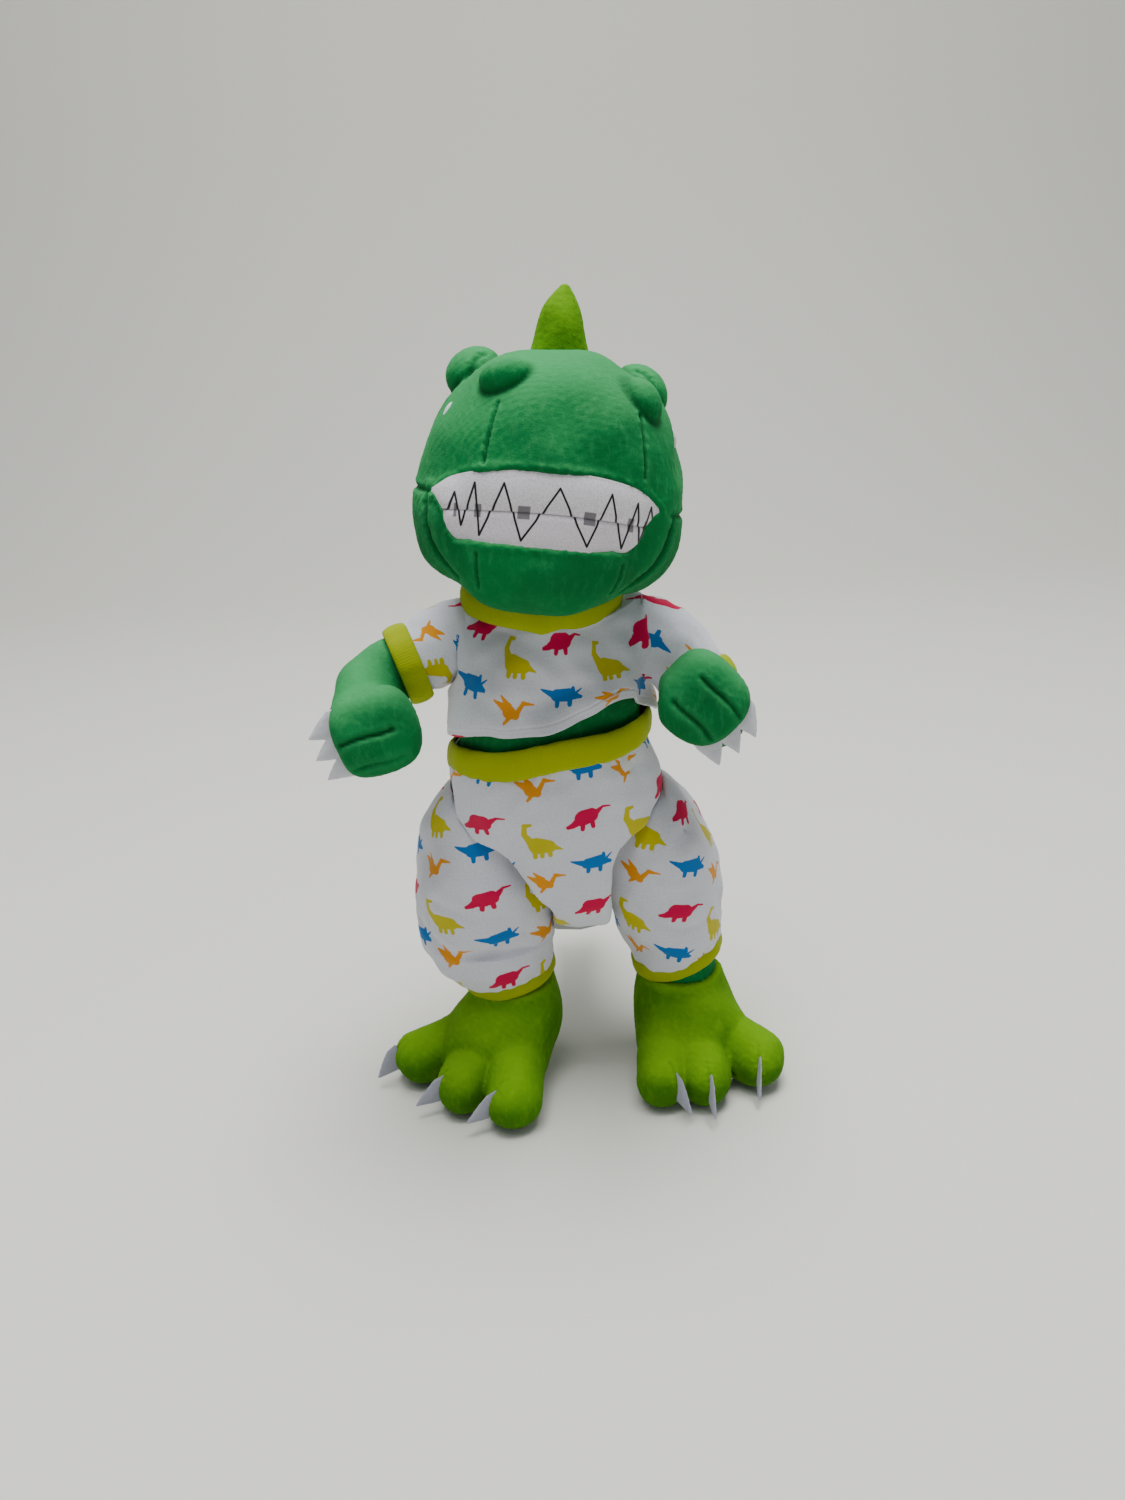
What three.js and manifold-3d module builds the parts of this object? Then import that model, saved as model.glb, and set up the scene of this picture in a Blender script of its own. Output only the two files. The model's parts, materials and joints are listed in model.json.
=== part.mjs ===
// A stuffed dinosaur that stands on its own feet, dressed in a pyjama top and trousers.
// Millimetres, +Z up. The toy faces -Y, so its own left side is +X and its own right side is -X.
// Each sewn piece is a solid of its own. Limbs, neck, head and tail meet the body on surfaces of
// revolution about their joint, so that they turn without touching it.
import * as THREE from 'three';
import { mergeVertices } from 'three/addons/utils/BufferGeometryUtils.js';
import Module from 'manifold-3d';

const wasm = await Module();
wasm.setup();

// ---- driving dimensions -------------------------------------------------------------------------

const GAP = 0.4; // clearance between pieces that lie against each other
const TURNING_GAP = 1.0; // clearance between round faces that turn past each other
const PLUSH = 2.0; // plush fabric, pile included
const JERSEY = 1.2; // pyjama fabric
const FELT = 1.4; // felt of the claws and eyes
const RIB = 1; // rib knit, a single layer
const ELASTIC = 1; // elastic in the waistband's channel
const FILLING_INSET = PLUSH + 2; // stuffing has fewer facets than its skin, so it lies a little deeper
const FAR = 400; // half size of a cutting block, larger than the toy

// The origin is under the middle of the toy's bounding box, which the tail moves back from the hips.
const BOX_CENTRE = [3.7, 15.8];

const NECK_PIVOT = [2, 0, 260];
const NECK_RADIUS = 30;
const NECK_SEAM_HEIGHT = 246; // where the neck is sewn to the body
const SHOULDER_REACH = 46; // the shoulder seams stand this far to each side
const ARMPIT_HEIGHT = 203; // below this the shirt may be wider than the shoulder seams
const HIP_HEIGHT = 112;
const HIP_DISC = 36; // radius of the flat face between body and thigh
const HIP_RIM = 46; // radius at which the thigh's face has opened out to the side of the body
const CROTCH = { left: 22, right: -6 }; // x of the flat faces between body and thighs
const HIP_FLARE = { left: [6, 29], right: [25, 46] }; // how far each thigh's face opens, just inside and at the rim
const SHANK_TOP = { left: 79, right: 73 }; // below this height a leg hangs clear of the body
const TAIL_PIVOT = [8, 44, 104];
const TAIL_ROOT = 17;
const TAIL_SEAM = 37; // y at which the tail's skin is sewn to the body
const ANKLE_HEIGHT = 48; // seam between leg and foot

const HEAD_CENTRE = [4, -22, 312];
const HEAD_HALF = [56, 60, 51]; // half width, half length, half height
const CROWN_TAPER = 0.16; // how much narrower the top of the head is than its middle
const SQUARENESS = { head: 2.5, palm: 2.8, lump: 2 }; // 2 is an ellipsoid, larger is boxier
const HEAD_TURN = [-6, 8, 6]; // degrees about X, Y and Z: nose up, right cheek up, nose to the left
const JAW = { centre: [0, -33, -34], half: [43, 27, 23] };
const GUSSET_HALF = 28; // half width of the head's middle panel, less than the neck's opening
const MOUTH = { top: 7, bottom: -22, back: -26 }; // the teeth band, measured from the head's centre

const WAIST_TILT = THREE.MathUtils.degToRad(-4.5); // the waistband rises towards the toy's left
const WAISTBAND = { bottom: 171.5, top: 187.5 };
const HEM_TILT = THREE.MathUtils.degToRad(-9);
const HEM_HEIGHT = 198.5;
const COLLAR = { centre: [-1, -1, 248.5], height: 10, inner: 33.5, outer: 36, tilt: [0.12, 0] };
const SHIRT_TOP = 242.5;
const CLOSURE = { loops: 10, hooks: 12, tape: 1 }; // widths and thickness of the tapes at the back
const LABEL = { from: 16, to: 28, height: 12 }; // a tab behind the collar, on the toy's left
const POUCH_TOP = 100;

// ---- the body's padded forms: a path and an outline of [half width, how far along the path] --------

const TORSO = {
  path: [[8, 1, 80], [6, 0, 105], [1, 0, 140], [-3, 0, 180], [-2, 0, 215], [0, 1, 262]],
  outline: [[0, 0], [26, 0.02], [40, 0.13], [46, 0.3], [47.5, 0.46], [44.5, 0.56], [44.5, 0.68],
    [40, 0.8], [31, 0.92], [0, 1]],
  oval: [0.9, 0.93],
};

const SHIRT = {
  path: [[-4, 0, 172], [-4, -1, 200], [-2, -1, 225], [0, 0, 262]],
  outline: [[0, 0], [50, 0.06], [51, 0.3], [49, 0.5], [45, 0.7], [36, 0.84], [0, 1]],
  oval: [0.93, 0.93],
};

const TAIL = {
  path: [[8, 28, 107], [8, 60, 99], [8, 90, 80], [8, 117, 62]],
  outline: [[0, 0], [15, 0.03], [16, 0.2], [19, 0.4], [15, 0.65], [8, 0.9], [0, 1]],
  oval: [1, 1],
};

const ARMS = {
  left: {
    path: [[38, -2, 236], [57, -7, 227], [73, -16, 211], [72, -36, 209], [66, -48, 214]],
    sleeve: [0.12, 0.32],
    cuff: [0.33, 0.46],
    palm: { centre: [65, -52, 216], fingers: [0.62, -0.1, -0.77], knuckles: [0.77, 0, 0.62] },
  },
  right: {
    path: [[-38, -3, 238], [-62, -8, 228], [-83, -16, 218], [-86, -34, 212], [-81, -48, 209]],
    sleeve: [0.12, 0.27],
    cuff: [0.28, 0.42],
    palm: { centre: [-79, -52, 208], fingers: [-0.93, -0.1, -0.36], knuckles: [-0.36, 0, 0.93] },
  },
};
const ARM_OUTLINE = [[0, 0], [14.5, 0.04], [15, 0.3], [15, 0.6], [14, 0.9], [0, 1]];
const SLEEVE_RADIUS = 18.5;
const PALM_HALF = [19, 19, 14]; // along the fingers, across them, and through the palm
const CLAW = { length: 13, root: 10, sunk: 5 };

const LEGS = {
  left: {
    path: [[44, 0, 154], [49, 0, 134], [51, 0, 106], [56, -1, 78], [59, -4, 30]],
    outline: [[0, 0], [22, 0.03], [29, 0.18], [31, 0.42], [28.5, 0.61], [21, 0.78], [16, 0.9], [0, 1]],
    cuff: { centre: [57.5, -2.5, 63], tilt: -0.33 },
    ankle: [59, -4],
    foot: [65, -22],
    toes: [[45, -47], [66, -48], [95, -35]],
  },
  right: {
    path: [[-33, 0, 154], [-38, 0, 134], [-40, 0, 106], [-34, -1, 78], [-29, -6, 30]],
    outline: [[0, 0], [24, 0.03], [32, 0.18], [34.5, 0.42], [31, 0.61], [22, 0.78], [17, 0.9], [0, 1]],
    cuff: { centre: [-31, -4, 57], tilt: -0.2 },
    ankle: [-29, -6],
    foot: [-44, -23],
    toes: [[-81, -17], [-56, -44], [-30, -58]],
  },
};
const THIGH_OVAL = [1.25, 0.88];
const LEG_CUFF = { height: 9, radius: 23.5 };
const TROUSER_SLACK = 6; // the trousers hang this far off the legs
const TOE = { radius: 14, height: 13 };
const INSTEP = [[0, 0], [29, 0.05], [29, 0.35], [25, 0.62], [22, 0.85], [0, 1]];

// ---- materials ------------------------------------------------------------------------------------

const material = (colour, roughness) => new THREE.MeshStandardMaterial({
  color: new THREE.Color(...colour),
  roughness,
  metalness: 0,
});
const greenPlush = () => material([0.03, 0.3, 0.1], 0.9);
const limePlush = () => material([0.25, 0.5, 0.02], 0.9);
const whiteFelt = () => material([0.8, 0.8, 0.84], 0.95);
const jersey = () => material([0.78, 0.79, 0.82], 0.85);
const limeRib = () => material([0.55, 0.62, 0.01], 0.8);
const fibrefill = () => material([0.9, 0.9, 0.88], 1);
const pellets = () => material([0.6, 0.6, 0.6], 0.6);
const elasticTape = () => material([0.85, 0.85, 0.85], 0.7);
const fastener = () => material([0.9, 0.9, 0.9], 0.6);
const labelSatin = () => material([0.92, 0.92, 0.92], 0.5);

// ---- making solids --------------------------------------------------------------------------------

const vector = (point) => new THREE.Vector3(...point);
const outwards = (side) => (side === 'left' ? 1 : -1); // which way along X

// Six times the volume inside a closed set of triangles, negative where they face inwards.
function signedVolume(places, triangles) {
  const corner = [new THREE.Vector3(), new THREE.Vector3(), new THREE.Vector3()];
  let sum = 0;
  for (let i = 0; i < triangles.length; i += 3) {
    corner.forEach((point, k) => point.fromBufferAttribute(places, triangles[i + k]));
    sum += corner[0].dot(corner[1].cross(corner[2]));
  }
  return sum;
}

// A closed geometry as a solid: corners are shared, slivers at the poles are dropped and the
// triangles are made to face outwards.
function solid(geometry) {
  const plain = geometry.clone();
  plain.deleteAttribute('normal');
  plain.deleteAttribute('uv');
  const merged = mergeVertices(plain, 1e-4);
  const corners = merged.index.array;
  const triangles = [];
  for (let i = 0; i < corners.length; i += 3) {
    const [a, b, c] = [corners[i], corners[i + 1], corners[i + 2]];
    if (a !== b && b !== c && c !== a) triangles.push(a, b, c);
  }
  if (signedVolume(merged.attributes.position, triangles) < 0) triangles.reverse();
  return new wasm.Manifold(new wasm.Mesh({
    numProp: 3,
    vertProperties: new Float32Array(merged.attributes.position.array),
    triVerts: new Uint32Array(triangles),
  }));
}

function mesh(name, body, finish) {
  const { vertProperties, triVerts } = body.getMesh();
  const geometry = new THREE.BufferGeometry();
  geometry.setAttribute('position', new THREE.BufferAttribute(new Float32Array(vertProperties), 3));
  geometry.setIndex(new THREE.BufferAttribute(new Uint32Array(triVerts), 1));
  geometry.computeVertexNormals();
  const part = new THREE.Mesh(geometry, finish);
  part.name = name;
  return part;
}

// The frame at a point along a curve: two directions across it, the first one nearest to `side`.
function across(curve, along, side) {
  const tangent = curve.getTangentAt(along);
  const first = side.clone().addScaledVector(tangent, -side.dot(tangent)).normalize();
  return [first, first.clone().cross(tangent)];
}

// Lays a lathe, whose height runs from 0 to 1, along a curve and presses it to an oval, which is
// its depth as a share of its width at the start and at the end.
function layAlong(turned, curve, side, [ovalAtStart, ovalAtEnd]) {
  const places = turned.attributes.position;
  for (let i = 0; i < places.count; i += 1) {
    const along = THREE.MathUtils.clamp(places.getY(i), 0, 1);
    const [first, second] = across(curve, along, side);
    const place = curve.getPointAt(along)
      .addScaledVector(first, places.getX(i))
      .addScaledVector(second, places.getZ(i) * THREE.MathUtils.lerp(ovalAtStart, ovalAtEnd, along));
    places.setXYZ(i, place.x, place.y, place.z);
  }
  return turned;
}

// A stuffed form. A positive inset makes it smaller all round, a negative one larger.
function padded({ path, outline, oval, side = [1, 0, 0] }, inset = 0, sides = 16) {
  const curve = new THREE.CatmullRomCurve3(path.map(vector));
  const widest = Math.max(...outline.map(([width]) => width));
  const narrower = 1 - inset / widest;
  const shorter = 1 - (2 * inset) / curve.getLength();
  const profile = outline.map(([width, along]) => new THREE.Vector2(width * narrower, along));
  const turned = new THREE.LatheGeometry(profile, sides);
  turned.scale(1, shorter, 1).translate(0, (1 - shorter) / 2, 0);
  return solid(layAlong(turned, curve, vector(side), oval));
}

// A ring of fabric around a path, from one place along it to another.
function sleeveRing(path, [start, end], inner, outer, side) {
  const curve = new THREE.CatmullRomCurve3(path.map(vector));
  const section = [[inner, start], [outer, start], [outer, end], [inner, end], [inner, start]];
  const turned = new THREE.LatheGeometry(section.map(([r, h]) => new THREE.Vector2(r, h)), 14);
  return solid(layAlong(turned, curve, vector(side), [1, 1]));
}

function block(low, high) {
  const size = vector(high).sub(vector(low));
  const centre = vector(low).add(vector(high)).multiplyScalar(0.5);
  return solid(new THREE.BoxGeometry(size.x, size.y, size.z).translate(centre.x, centre.y, centre.z));
}

function ball(centre, radius, sides = 20) {
  return solid(new THREE.SphereGeometry(radius, sides, sides / 2).translate(...centre));
}

// Everything between two heights, which are measured at x and tilt about Y.
function slab(bottom, top, tilt = 0, x = 0) {
  const box = new THREE.BoxGeometry(FAR * 2, FAR * 2, top - bottom);
  box.translate(0, 0, (bottom + top) / 2).applyMatrix4(new THREE.Matrix4().makeTranslation(0, 0, -bottom));
  box.rotateY(tilt).translate(x, 0, bottom);
  return solid(box);
}

const above = (height, tilt = 0, x = 0) => slab(height, height + FAR, tilt, x);
const shell = (form, inset, thickness, sides) => (
  padded(form, inset, sides).subtract(padded(form, inset + thickness, sides)));

// ---- joint faces ------------------------------------------------------------------------------------

// The space of a thigh beside the body: flat by the hip's centre, opening outwards towards its rim.
function hipSpace(side, clearance) {
  const [beforeRim, atRim] = HIP_FLARE[side];
  const profile = [[0, 0], [HIP_DISC, 0], [HIP_RIM - 2, beforeRim], [HIP_RIM, atRim], [FAR, atRim + 2],
    [FAR, FAR], [0, FAR]];
  const turned = new THREE.LatheGeometry(profile.map(([radius, out], i) => (
    new THREE.Vector2(i === 0 || i === profile.length - 1 ? 0 : radius - clearance, out + clearance / 2))), 20);
  turned.rotateZ(-Math.PI / 2);
  if (side === 'right') turned.rotateZ(Math.PI);
  return solid(turned.translate(CROTCH[side], 0, HIP_HEIGHT));
}

// Beside its flat face a leg may also fill the space below the body.
function legSpace(side) {
  const inner = CROTCH[side] + outwards(side) * GAP;
  const below = side === 'left'
    ? block([inner, -FAR, -FAR], [FAR, FAR, SHANK_TOP.left])
    : block([-FAR, -FAR, -FAR], [inner, FAR, SHANK_TOP.right]);
  return hipSpace(side, TURNING_GAP).add(below);
}

const thighSockets = hipSpace('left', 0).add(hipSpace('right', 0));
const tailSocket = ball(TAIL_PIVOT, TAIL_ROOT + TURNING_GAP);
const neckSocket = ball(NECK_PIVOT, NECK_RADIUS + TURNING_GAP);

const bodySpace = block([-FAR, -FAR, -FAR], [FAR, FAR, NECK_SEAM_HEIGHT])
  .subtract(thighSockets)
  .subtract(tailSocket);

// ---- torso --------------------------------------------------------------------------------------------

function torsoPieces() {
  const filling = padded(TORSO, FILLING_INSET, 12).intersect(bodySpace);
  return [
    mesh('torso_skin', shell(TORSO, 0, PLUSH).intersect(bodySpace), greenPlush()),
    mesh('torso_stuffing', filling.intersect(above(POUCH_TOP + GAP)), fibrefill()),
    mesh('bean_pouch', filling.subtract(above(POUCH_TOP)), pellets()),
  ];
}

function trouserPieces() {
  const cloth = shell(TORSO, -GAP - JERSEY, JERSEY).intersect(bodySpace).subtract(ball(TAIL_PIVOT, TAIL_ROOT + 3));
  const below = above(WAISTBAND.bottom - GAP, WAIST_TILT);
  const band = slab(WAISTBAND.bottom, WAISTBAND.top, WAIST_TILT);
  const channel = slab(WAISTBAND.bottom - GAP, WAISTBAND.top - RIB, WAIST_TILT);
  const elastic = slab(WAISTBAND.bottom + GAP, WAISTBAND.top - RIB - GAP, WAIST_TILT);
  const room = ELASTIC + 2 * GAP;
  const folded = shell(TORSO, -(GAP + RIB + room + RIB), RIB + room + RIB).intersect(band)
    .subtract(shell(TORSO, -(GAP + RIB + room), room).intersect(channel));
  return [
    mesh('trouser_body', cloth.subtract(below), jersey()),
    mesh('waistband', folded, limeRib()),
    mesh('waist_elastic', shell(TORSO, -(GAP + RIB + GAP + ELASTIC), ELASTIC).intersect(elastic), elasticTape()),
  ];
}

// An upright band of fabric with a rectangular section, tipped forwards and sideways.
function ring([x, y, z], height, inner, outer, [forwards, sideways], sides = 20) {
  const [low, high] = [-height / 2, height / 2];
  const section = [[inner, low], [outer, low], [outer, high], [inner, high], [inner, low]];
  const turned = new THREE.LatheGeometry(section.map(([r, h]) => new THREE.Vector2(r, h)), sides);
  return solid(turned.rotateX(Math.PI / 2 + forwards).rotateY(sideways).translate(x, y, z));
}

function shirtPieces() {
  const reach = SHOULDER_REACH - GAP / 2;
  const { centre, height, inner, outer, tilt } = COLLAR;
  const room = block([-reach, -FAR, -FAR], [reach, FAR, SHIRT_TOP])
    .add(block([-FAR, -FAR, -FAR], [FAR, FAR, ARMPIT_HEIGHT]));
  const neckHole = ring(centre, height + 2 * GAP, 0, outer + GAP, tilt);
  const cloth = shell(SHIRT, 0, JERSEY).intersect(room).intersect(above(HEM_HEIGHT, HEM_TILT)).subtract(neckHole);
  const tape = (outside, width) => shell(SHIRT, -outside, CLOSURE.tape)
    .intersect(block([-width / 2, 0, HEM_HEIGHT + 4], [width / 2, FAR, SHIRT_TOP - 3]));
  const behind = ring([centre[0], centre[1], centre[2] + 4], LABEL.height, outer + GAP, outer + GAP + 1, tilt);
  const label = behind.intersect(block([LABEL.from, 0, -FAR], [LABEL.to, FAR, FAR]));
  return [
    mesh('shirt_body', cloth, jersey()),
    mesh('shirt_collar', ring(centre, height, inner, outer, tilt), limeRib()),
    mesh('closure_loops', tape(CLOSURE.tape + GAP, CLOSURE.loops), fastener()),
    mesh('closure_hooks', tape(2 * (CLOSURE.tape + GAP), CLOSURE.hooks), fastener()),
    mesh('neck_label', label, labelSatin()),
  ];
}

function neckPieces() {
  const stump = ball(NECK_PIVOT, NECK_RADIUS).intersect(above(NECK_SEAM_HEIGHT + GAP));
  const inside = ball(NECK_PIVOT, NECK_RADIUS - PLUSH);
  return [
    mesh('neck_skin', stump.subtract(inside).intersect(above(NECK_SEAM_HEIGHT + GAP)), greenPlush()),
    mesh('neck_stuffing', ball(NECK_PIVOT, NECK_RADIUS - FILLING_INSET, 12)
      .intersect(above(NECK_SEAM_HEIGHT + GAP)), fibrefill()),
  ];
}

// ---- head: shaped about its own centre, then turned as a whole ----------------------------------------

const headTurn = new THREE.Euler(...HEAD_TURN.map(THREE.MathUtils.degToRad));
const headFrame = new THREE.Matrix4().makeRotationFromEuler(headTurn).setPosition(vector(HEAD_CENTRE));

// A rounded block of the given half sizes about the origin.
function roundedBlock(half, squareness, sides) {
  const geometry = new THREE.SphereGeometry(1, sides, Math.round(sides * 0.6));
  const places = geometry.attributes.position;
  for (let i = 0; i < places.count; i += 1) {
    const direction = new THREE.Vector3().fromBufferAttribute(places, i);
    const measure = direction.toArray().reduce((sum, part, axis) => (
      sum + Math.abs(part / half[axis]) ** squareness), 0);
    direction.multiplyScalar(measure ** (-1 / squareness));
    places.setXYZ(i, direction.x, direction.y, direction.z);
  }
  return geometry;
}

// The skull narrows towards its crown, and the jaw hangs below its front.
function headForm(inset, sides = 16) {
  const half = HEAD_HALF.map((length) => length - inset);
  const geometry = roundedBlock(half, SQUARENESS.head, sides);
  const places = geometry.attributes.position;
  for (let i = 0; i < places.count; i += 1) {
    const height = Math.max(0, places.getZ(i) / half[2]);
    places.setX(i, places.getX(i) * (1 - CROWN_TAPER * height));
  }
  return solid(geometry).add(lump(JAW.centre, JAW.half.map((length) => length - inset), [0, 0, 0], sides));
}

function socketInHead() {
  const pivot = vector(NECK_PIVOT).applyMatrix4(headFrame.clone().invert());
  return ball(pivot.toArray(), NECK_RADIUS + TURNING_GAP);
}

// A rounded lump of the given half sizes, turned about its own centre.
function lump(centre, half, turn = [0, 0, 0], sides = 9) {
  const geometry = roundedBlock(half, SQUARENESS.lump, sides);
  geometry.applyMatrix4(new THREE.Matrix4().makeRotationFromEuler(new THREE.Euler(...turn)));
  return solid(geometry.translate(...centre));
}

function spike(centre, radius, height, lean) {
  const profile = [[0, 0], [radius, 0], [radius * 0.75, height * 0.4], [radius * 0.3, height * 0.85], [0, height]];
  const cone = new THREE.LatheGeometry(profile.map(([r, h]) => new THREE.Vector2(r, h)), 10);
  return solid(cone.rotateX(Math.PI / 2 + lean).translate(...centre));
}

function headPieces() {
  const socket = socketInHead();
  const skin = headForm(0).subtract(headForm(PLUSH)).subtract(socket);
  const outside = headForm(-GAP);
  const mouth = (grow) => block([-FAR, -FAR, MOUTH.bottom - grow], [FAR, MOUTH.back + grow, MOUTH.top + grow]);
  const plush = skin.subtract(mouth(GAP));
  const gusset = (reach) => block([-reach, -FAR, -FAR], [reach, FAR, FAR]);
  const chinBlock = (grow) => block([-FAR, -FAR, -FAR], [FAR, -HEAD_CENTRE[1] + grow, MOUTH.bottom]);
  const middle = plush.intersect(gusset(GUSSET_HALF));
  const sides = plush.subtract(gusset(GUSSET_HALF + GAP));
  const leftHalf = block([0, -FAR, -FAR], [FAR, FAR, FAR]);
  const pieces = [
    mesh('head_gusset', middle.subtract(chinBlock(0)), greenPlush()),
    mesh('chin_panel', middle.intersect(chinBlock(-GAP)), greenPlush()),
    mesh('head_side_left', sides.intersect(leftHalf), greenPlush()),
    mesh('head_side_right', sides.subtract(leftHalf), greenPlush()),
    mesh('teeth_band', skin.intersect(mouth(0)), whiteFelt()),
    mesh('head_stuffing', headForm(FILLING_INSET, 12).subtract(socket), fibrefill()),
    mesh('head_spike', spike([0, 4, 44], 13, 35.5, 0).subtract(outside), limePlush()),
    mesh('nape_spike', spike([0, 44, 30], 10, 24, -0.9).subtract(outside), limePlush()),
  ];
  for (const side of ['left', 'right']) {
    const out = outwards(side);
    const brow = (grow) => lump([out * 36, 0, 38], [14 + grow, 19 + grow, 11 + grow], [0.15, out * 0.5, 0]);
    const eye = lump([out * 46, -6, 24], [6, 10, 9]);
    const nostril = lump([out * 29, -45, 34], [10, 9, 9]);
    pieces.push(
      mesh(`brow_${side}`, brow(0).subtract(outside), greenPlush()),
      mesh(`eye_${side}`, eye.subtract(outside).subtract(brow(GAP)), whiteFelt()),
      mesh(`nostril_${side}`, nostril.subtract(outside), greenPlush()),
    );
  }
  const head = new THREE.Group();
  head.add(...pieces);
  head.applyMatrix4(headFrame);
  return head;
}

// ---- claws: flat felt points, sewn into a seam ----------------------------------------------------------

// The root lies across `wide`, the tip lies `length` away towards `forward`.
function claw(root, forward, wide, { length, root: width }) {
  const outline = new THREE.Shape();
  outline.moveTo(-width / 2, 0);
  outline.lineTo(width / 2, 0);
  outline.quadraticCurveTo(width * 0.35, length * 0.6, 0, length);
  outline.quadraticCurveTo(-width * 0.35, length * 0.6, -width / 2, 0);
  const flat = new THREE.ExtrudeGeometry(outline, { depth: FELT, bevelEnabled: false, curveSegments: 3 });
  flat.translate(0, 0, -FELT / 2);
  const y = vector(forward).normalize();
  const z = vector(wide).cross(y).normalize();
  const x = y.clone().cross(z);
  return solid(flat.applyMatrix4(new THREE.Matrix4().makeBasis(x, y, z).setPosition(root)));
}

// ---- arms -------------------------------------------------------------------------------------------------

function palmForm({ centre, fingers, knuckles }, inset, sides) {
  const x = vector(fingers).normalize();
  const z = x.clone().cross(vector(knuckles)).normalize();
  const y = z.clone().cross(x);
  const half = PALM_HALF.map((length) => length - inset);
  const geometry = roundedBlock(half, SQUARENESS.palm, sides);
  return solid(geometry.applyMatrix4(new THREE.Matrix4().makeBasis(x, y, z).setPosition(vector(centre))));
}

function armForm(side, inset, sides = 10) {
  const form = { path: ARMS[side].path, outline: ARM_OUTLINE, oval: [1, 1], side: [0, 0, 1] };
  return padded(form, inset, sides).add(palmForm(ARMS[side].palm, inset, sides));
}

function handClaws(side, hand) {
  const { centre, fingers, knuckles } = ARMS[side].palm;
  return [1, 0, -1].map((row, i) => {
    const root = vector(centre)
      .addScaledVector(vector(fingers).normalize(), PALM_HALF[0] - CLAW.sunk - Math.abs(row) * 3)
      .addScaledVector(vector(knuckles).normalize(), row * 9);
    const forward = vector(fingers).add(new THREE.Vector3(0, 0, -0.25)).toArray();
    const size = { length: CLAW.length + CLAW.sunk, root: CLAW.root };
    return mesh(`hand_claw_${side}_${i + 1}`, claw(root, forward, knuckles, size).subtract(hand), whiteFelt());
  });
}

function armPieces(side) {
  const { path, sleeve, cuff } = ARMS[side];
  const outer = side === 'left'
    ? block([SHOULDER_REACH + GAP, -FAR, -FAR], [FAR, FAR, FAR])
    : block([-FAR, -FAR, -FAR], [-SHOULDER_REACH - GAP, FAR, FAR]);
  const up = [0, 0, 1];
  const skin = armForm(side, 0).subtract(armForm(side, PLUSH)).intersect(outer);
  return [
    mesh(`arm_skin_${side}`, skin, greenPlush()),
    mesh(`arm_stuffing_${side}`, armForm(side, FILLING_INSET, 8).intersect(outer), fibrefill()),
    mesh(`sleeve_${side}`, sleeveRing(path, sleeve, SLEEVE_RADIUS - JERSEY, SLEEVE_RADIUS, up)
      .intersect(outer), jersey()),
    mesh(`sleeve_cuff_${side}`, sleeveRing(path, cuff, SLEEVE_RADIUS - 2, SLEEVE_RADIUS, up), limeRib()),
    ...handClaws(side, armForm(side, -GAP)),
  ];
}

// ---- legs and feet ----------------------------------------------------------------------------------------

function legForm(side, inset, sides = 14) {
  const { path, outline } = LEGS[side];
  return padded({ path, outline, oval: THIGH_OVAL }, inset, sides);
}

// A foot is an instep and three toes that run out of it, pressed flat underneath.
function footForm(side, inset, sides = 10) {
  const { ankle: [x, y], foot: [footX, footY], toes } = LEGS[side];
  const instep = [[footX, footY, -6], [footX, footY, 12], [x, y, 38], [x, y, 62]];
  let foot = padded({ path: instep, outline: INSTEP, oval: [1, 1] }, inset, sides);
  for (const [toeX, toeY] of toes) {
    const forward = vector([toeX - x, toeY - y, 0]).normalize().multiplyScalar(TOE.radius);
    const path = [[x, y, 27], [(x + toeX) / 2, (y + toeY) / 2, 21],
      [toeX + forward.x, toeY + forward.y, TOE.height]];
    const outline = [[0, 0], [15, 0.1], [16, 0.45], [15, 0.78], [10, 0.95], [0, 1]];
    foot = foot.add(padded({ path, outline, oval: [1, 1], side: [0, 0, 1] }, inset, sides - 2));
  }
  return foot.intersect(block([-FAR, -FAR, inset], [FAR, FAR, ANKLE_HEIGHT]));
}

function footClaws(side, foot) {
  const { ankle: [x, y], toes } = LEGS[side];
  return toes.map(([toeX, toeY], i) => {
    const forward = vector([toeX - x, toeY - y, 0]).normalize();
    const root = vector([toeX, toeY, TOE.height + 3]).addScaledVector(forward, TOE.radius - CLAW.sunk);
    const wide = forward.clone().cross(new THREE.Vector3(0, 0, 1));
    const downward = forward.clone().add(new THREE.Vector3(0, 0, -0.35));
    const size = { length: CLAW.length + CLAW.sunk, root: CLAW.root };
    return mesh(`foot_claw_${side}_${i + 1}`, claw(root, downward.toArray(), wide.toArray(), size)
      .subtract(foot), whiteFelt());
  });
}

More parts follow.
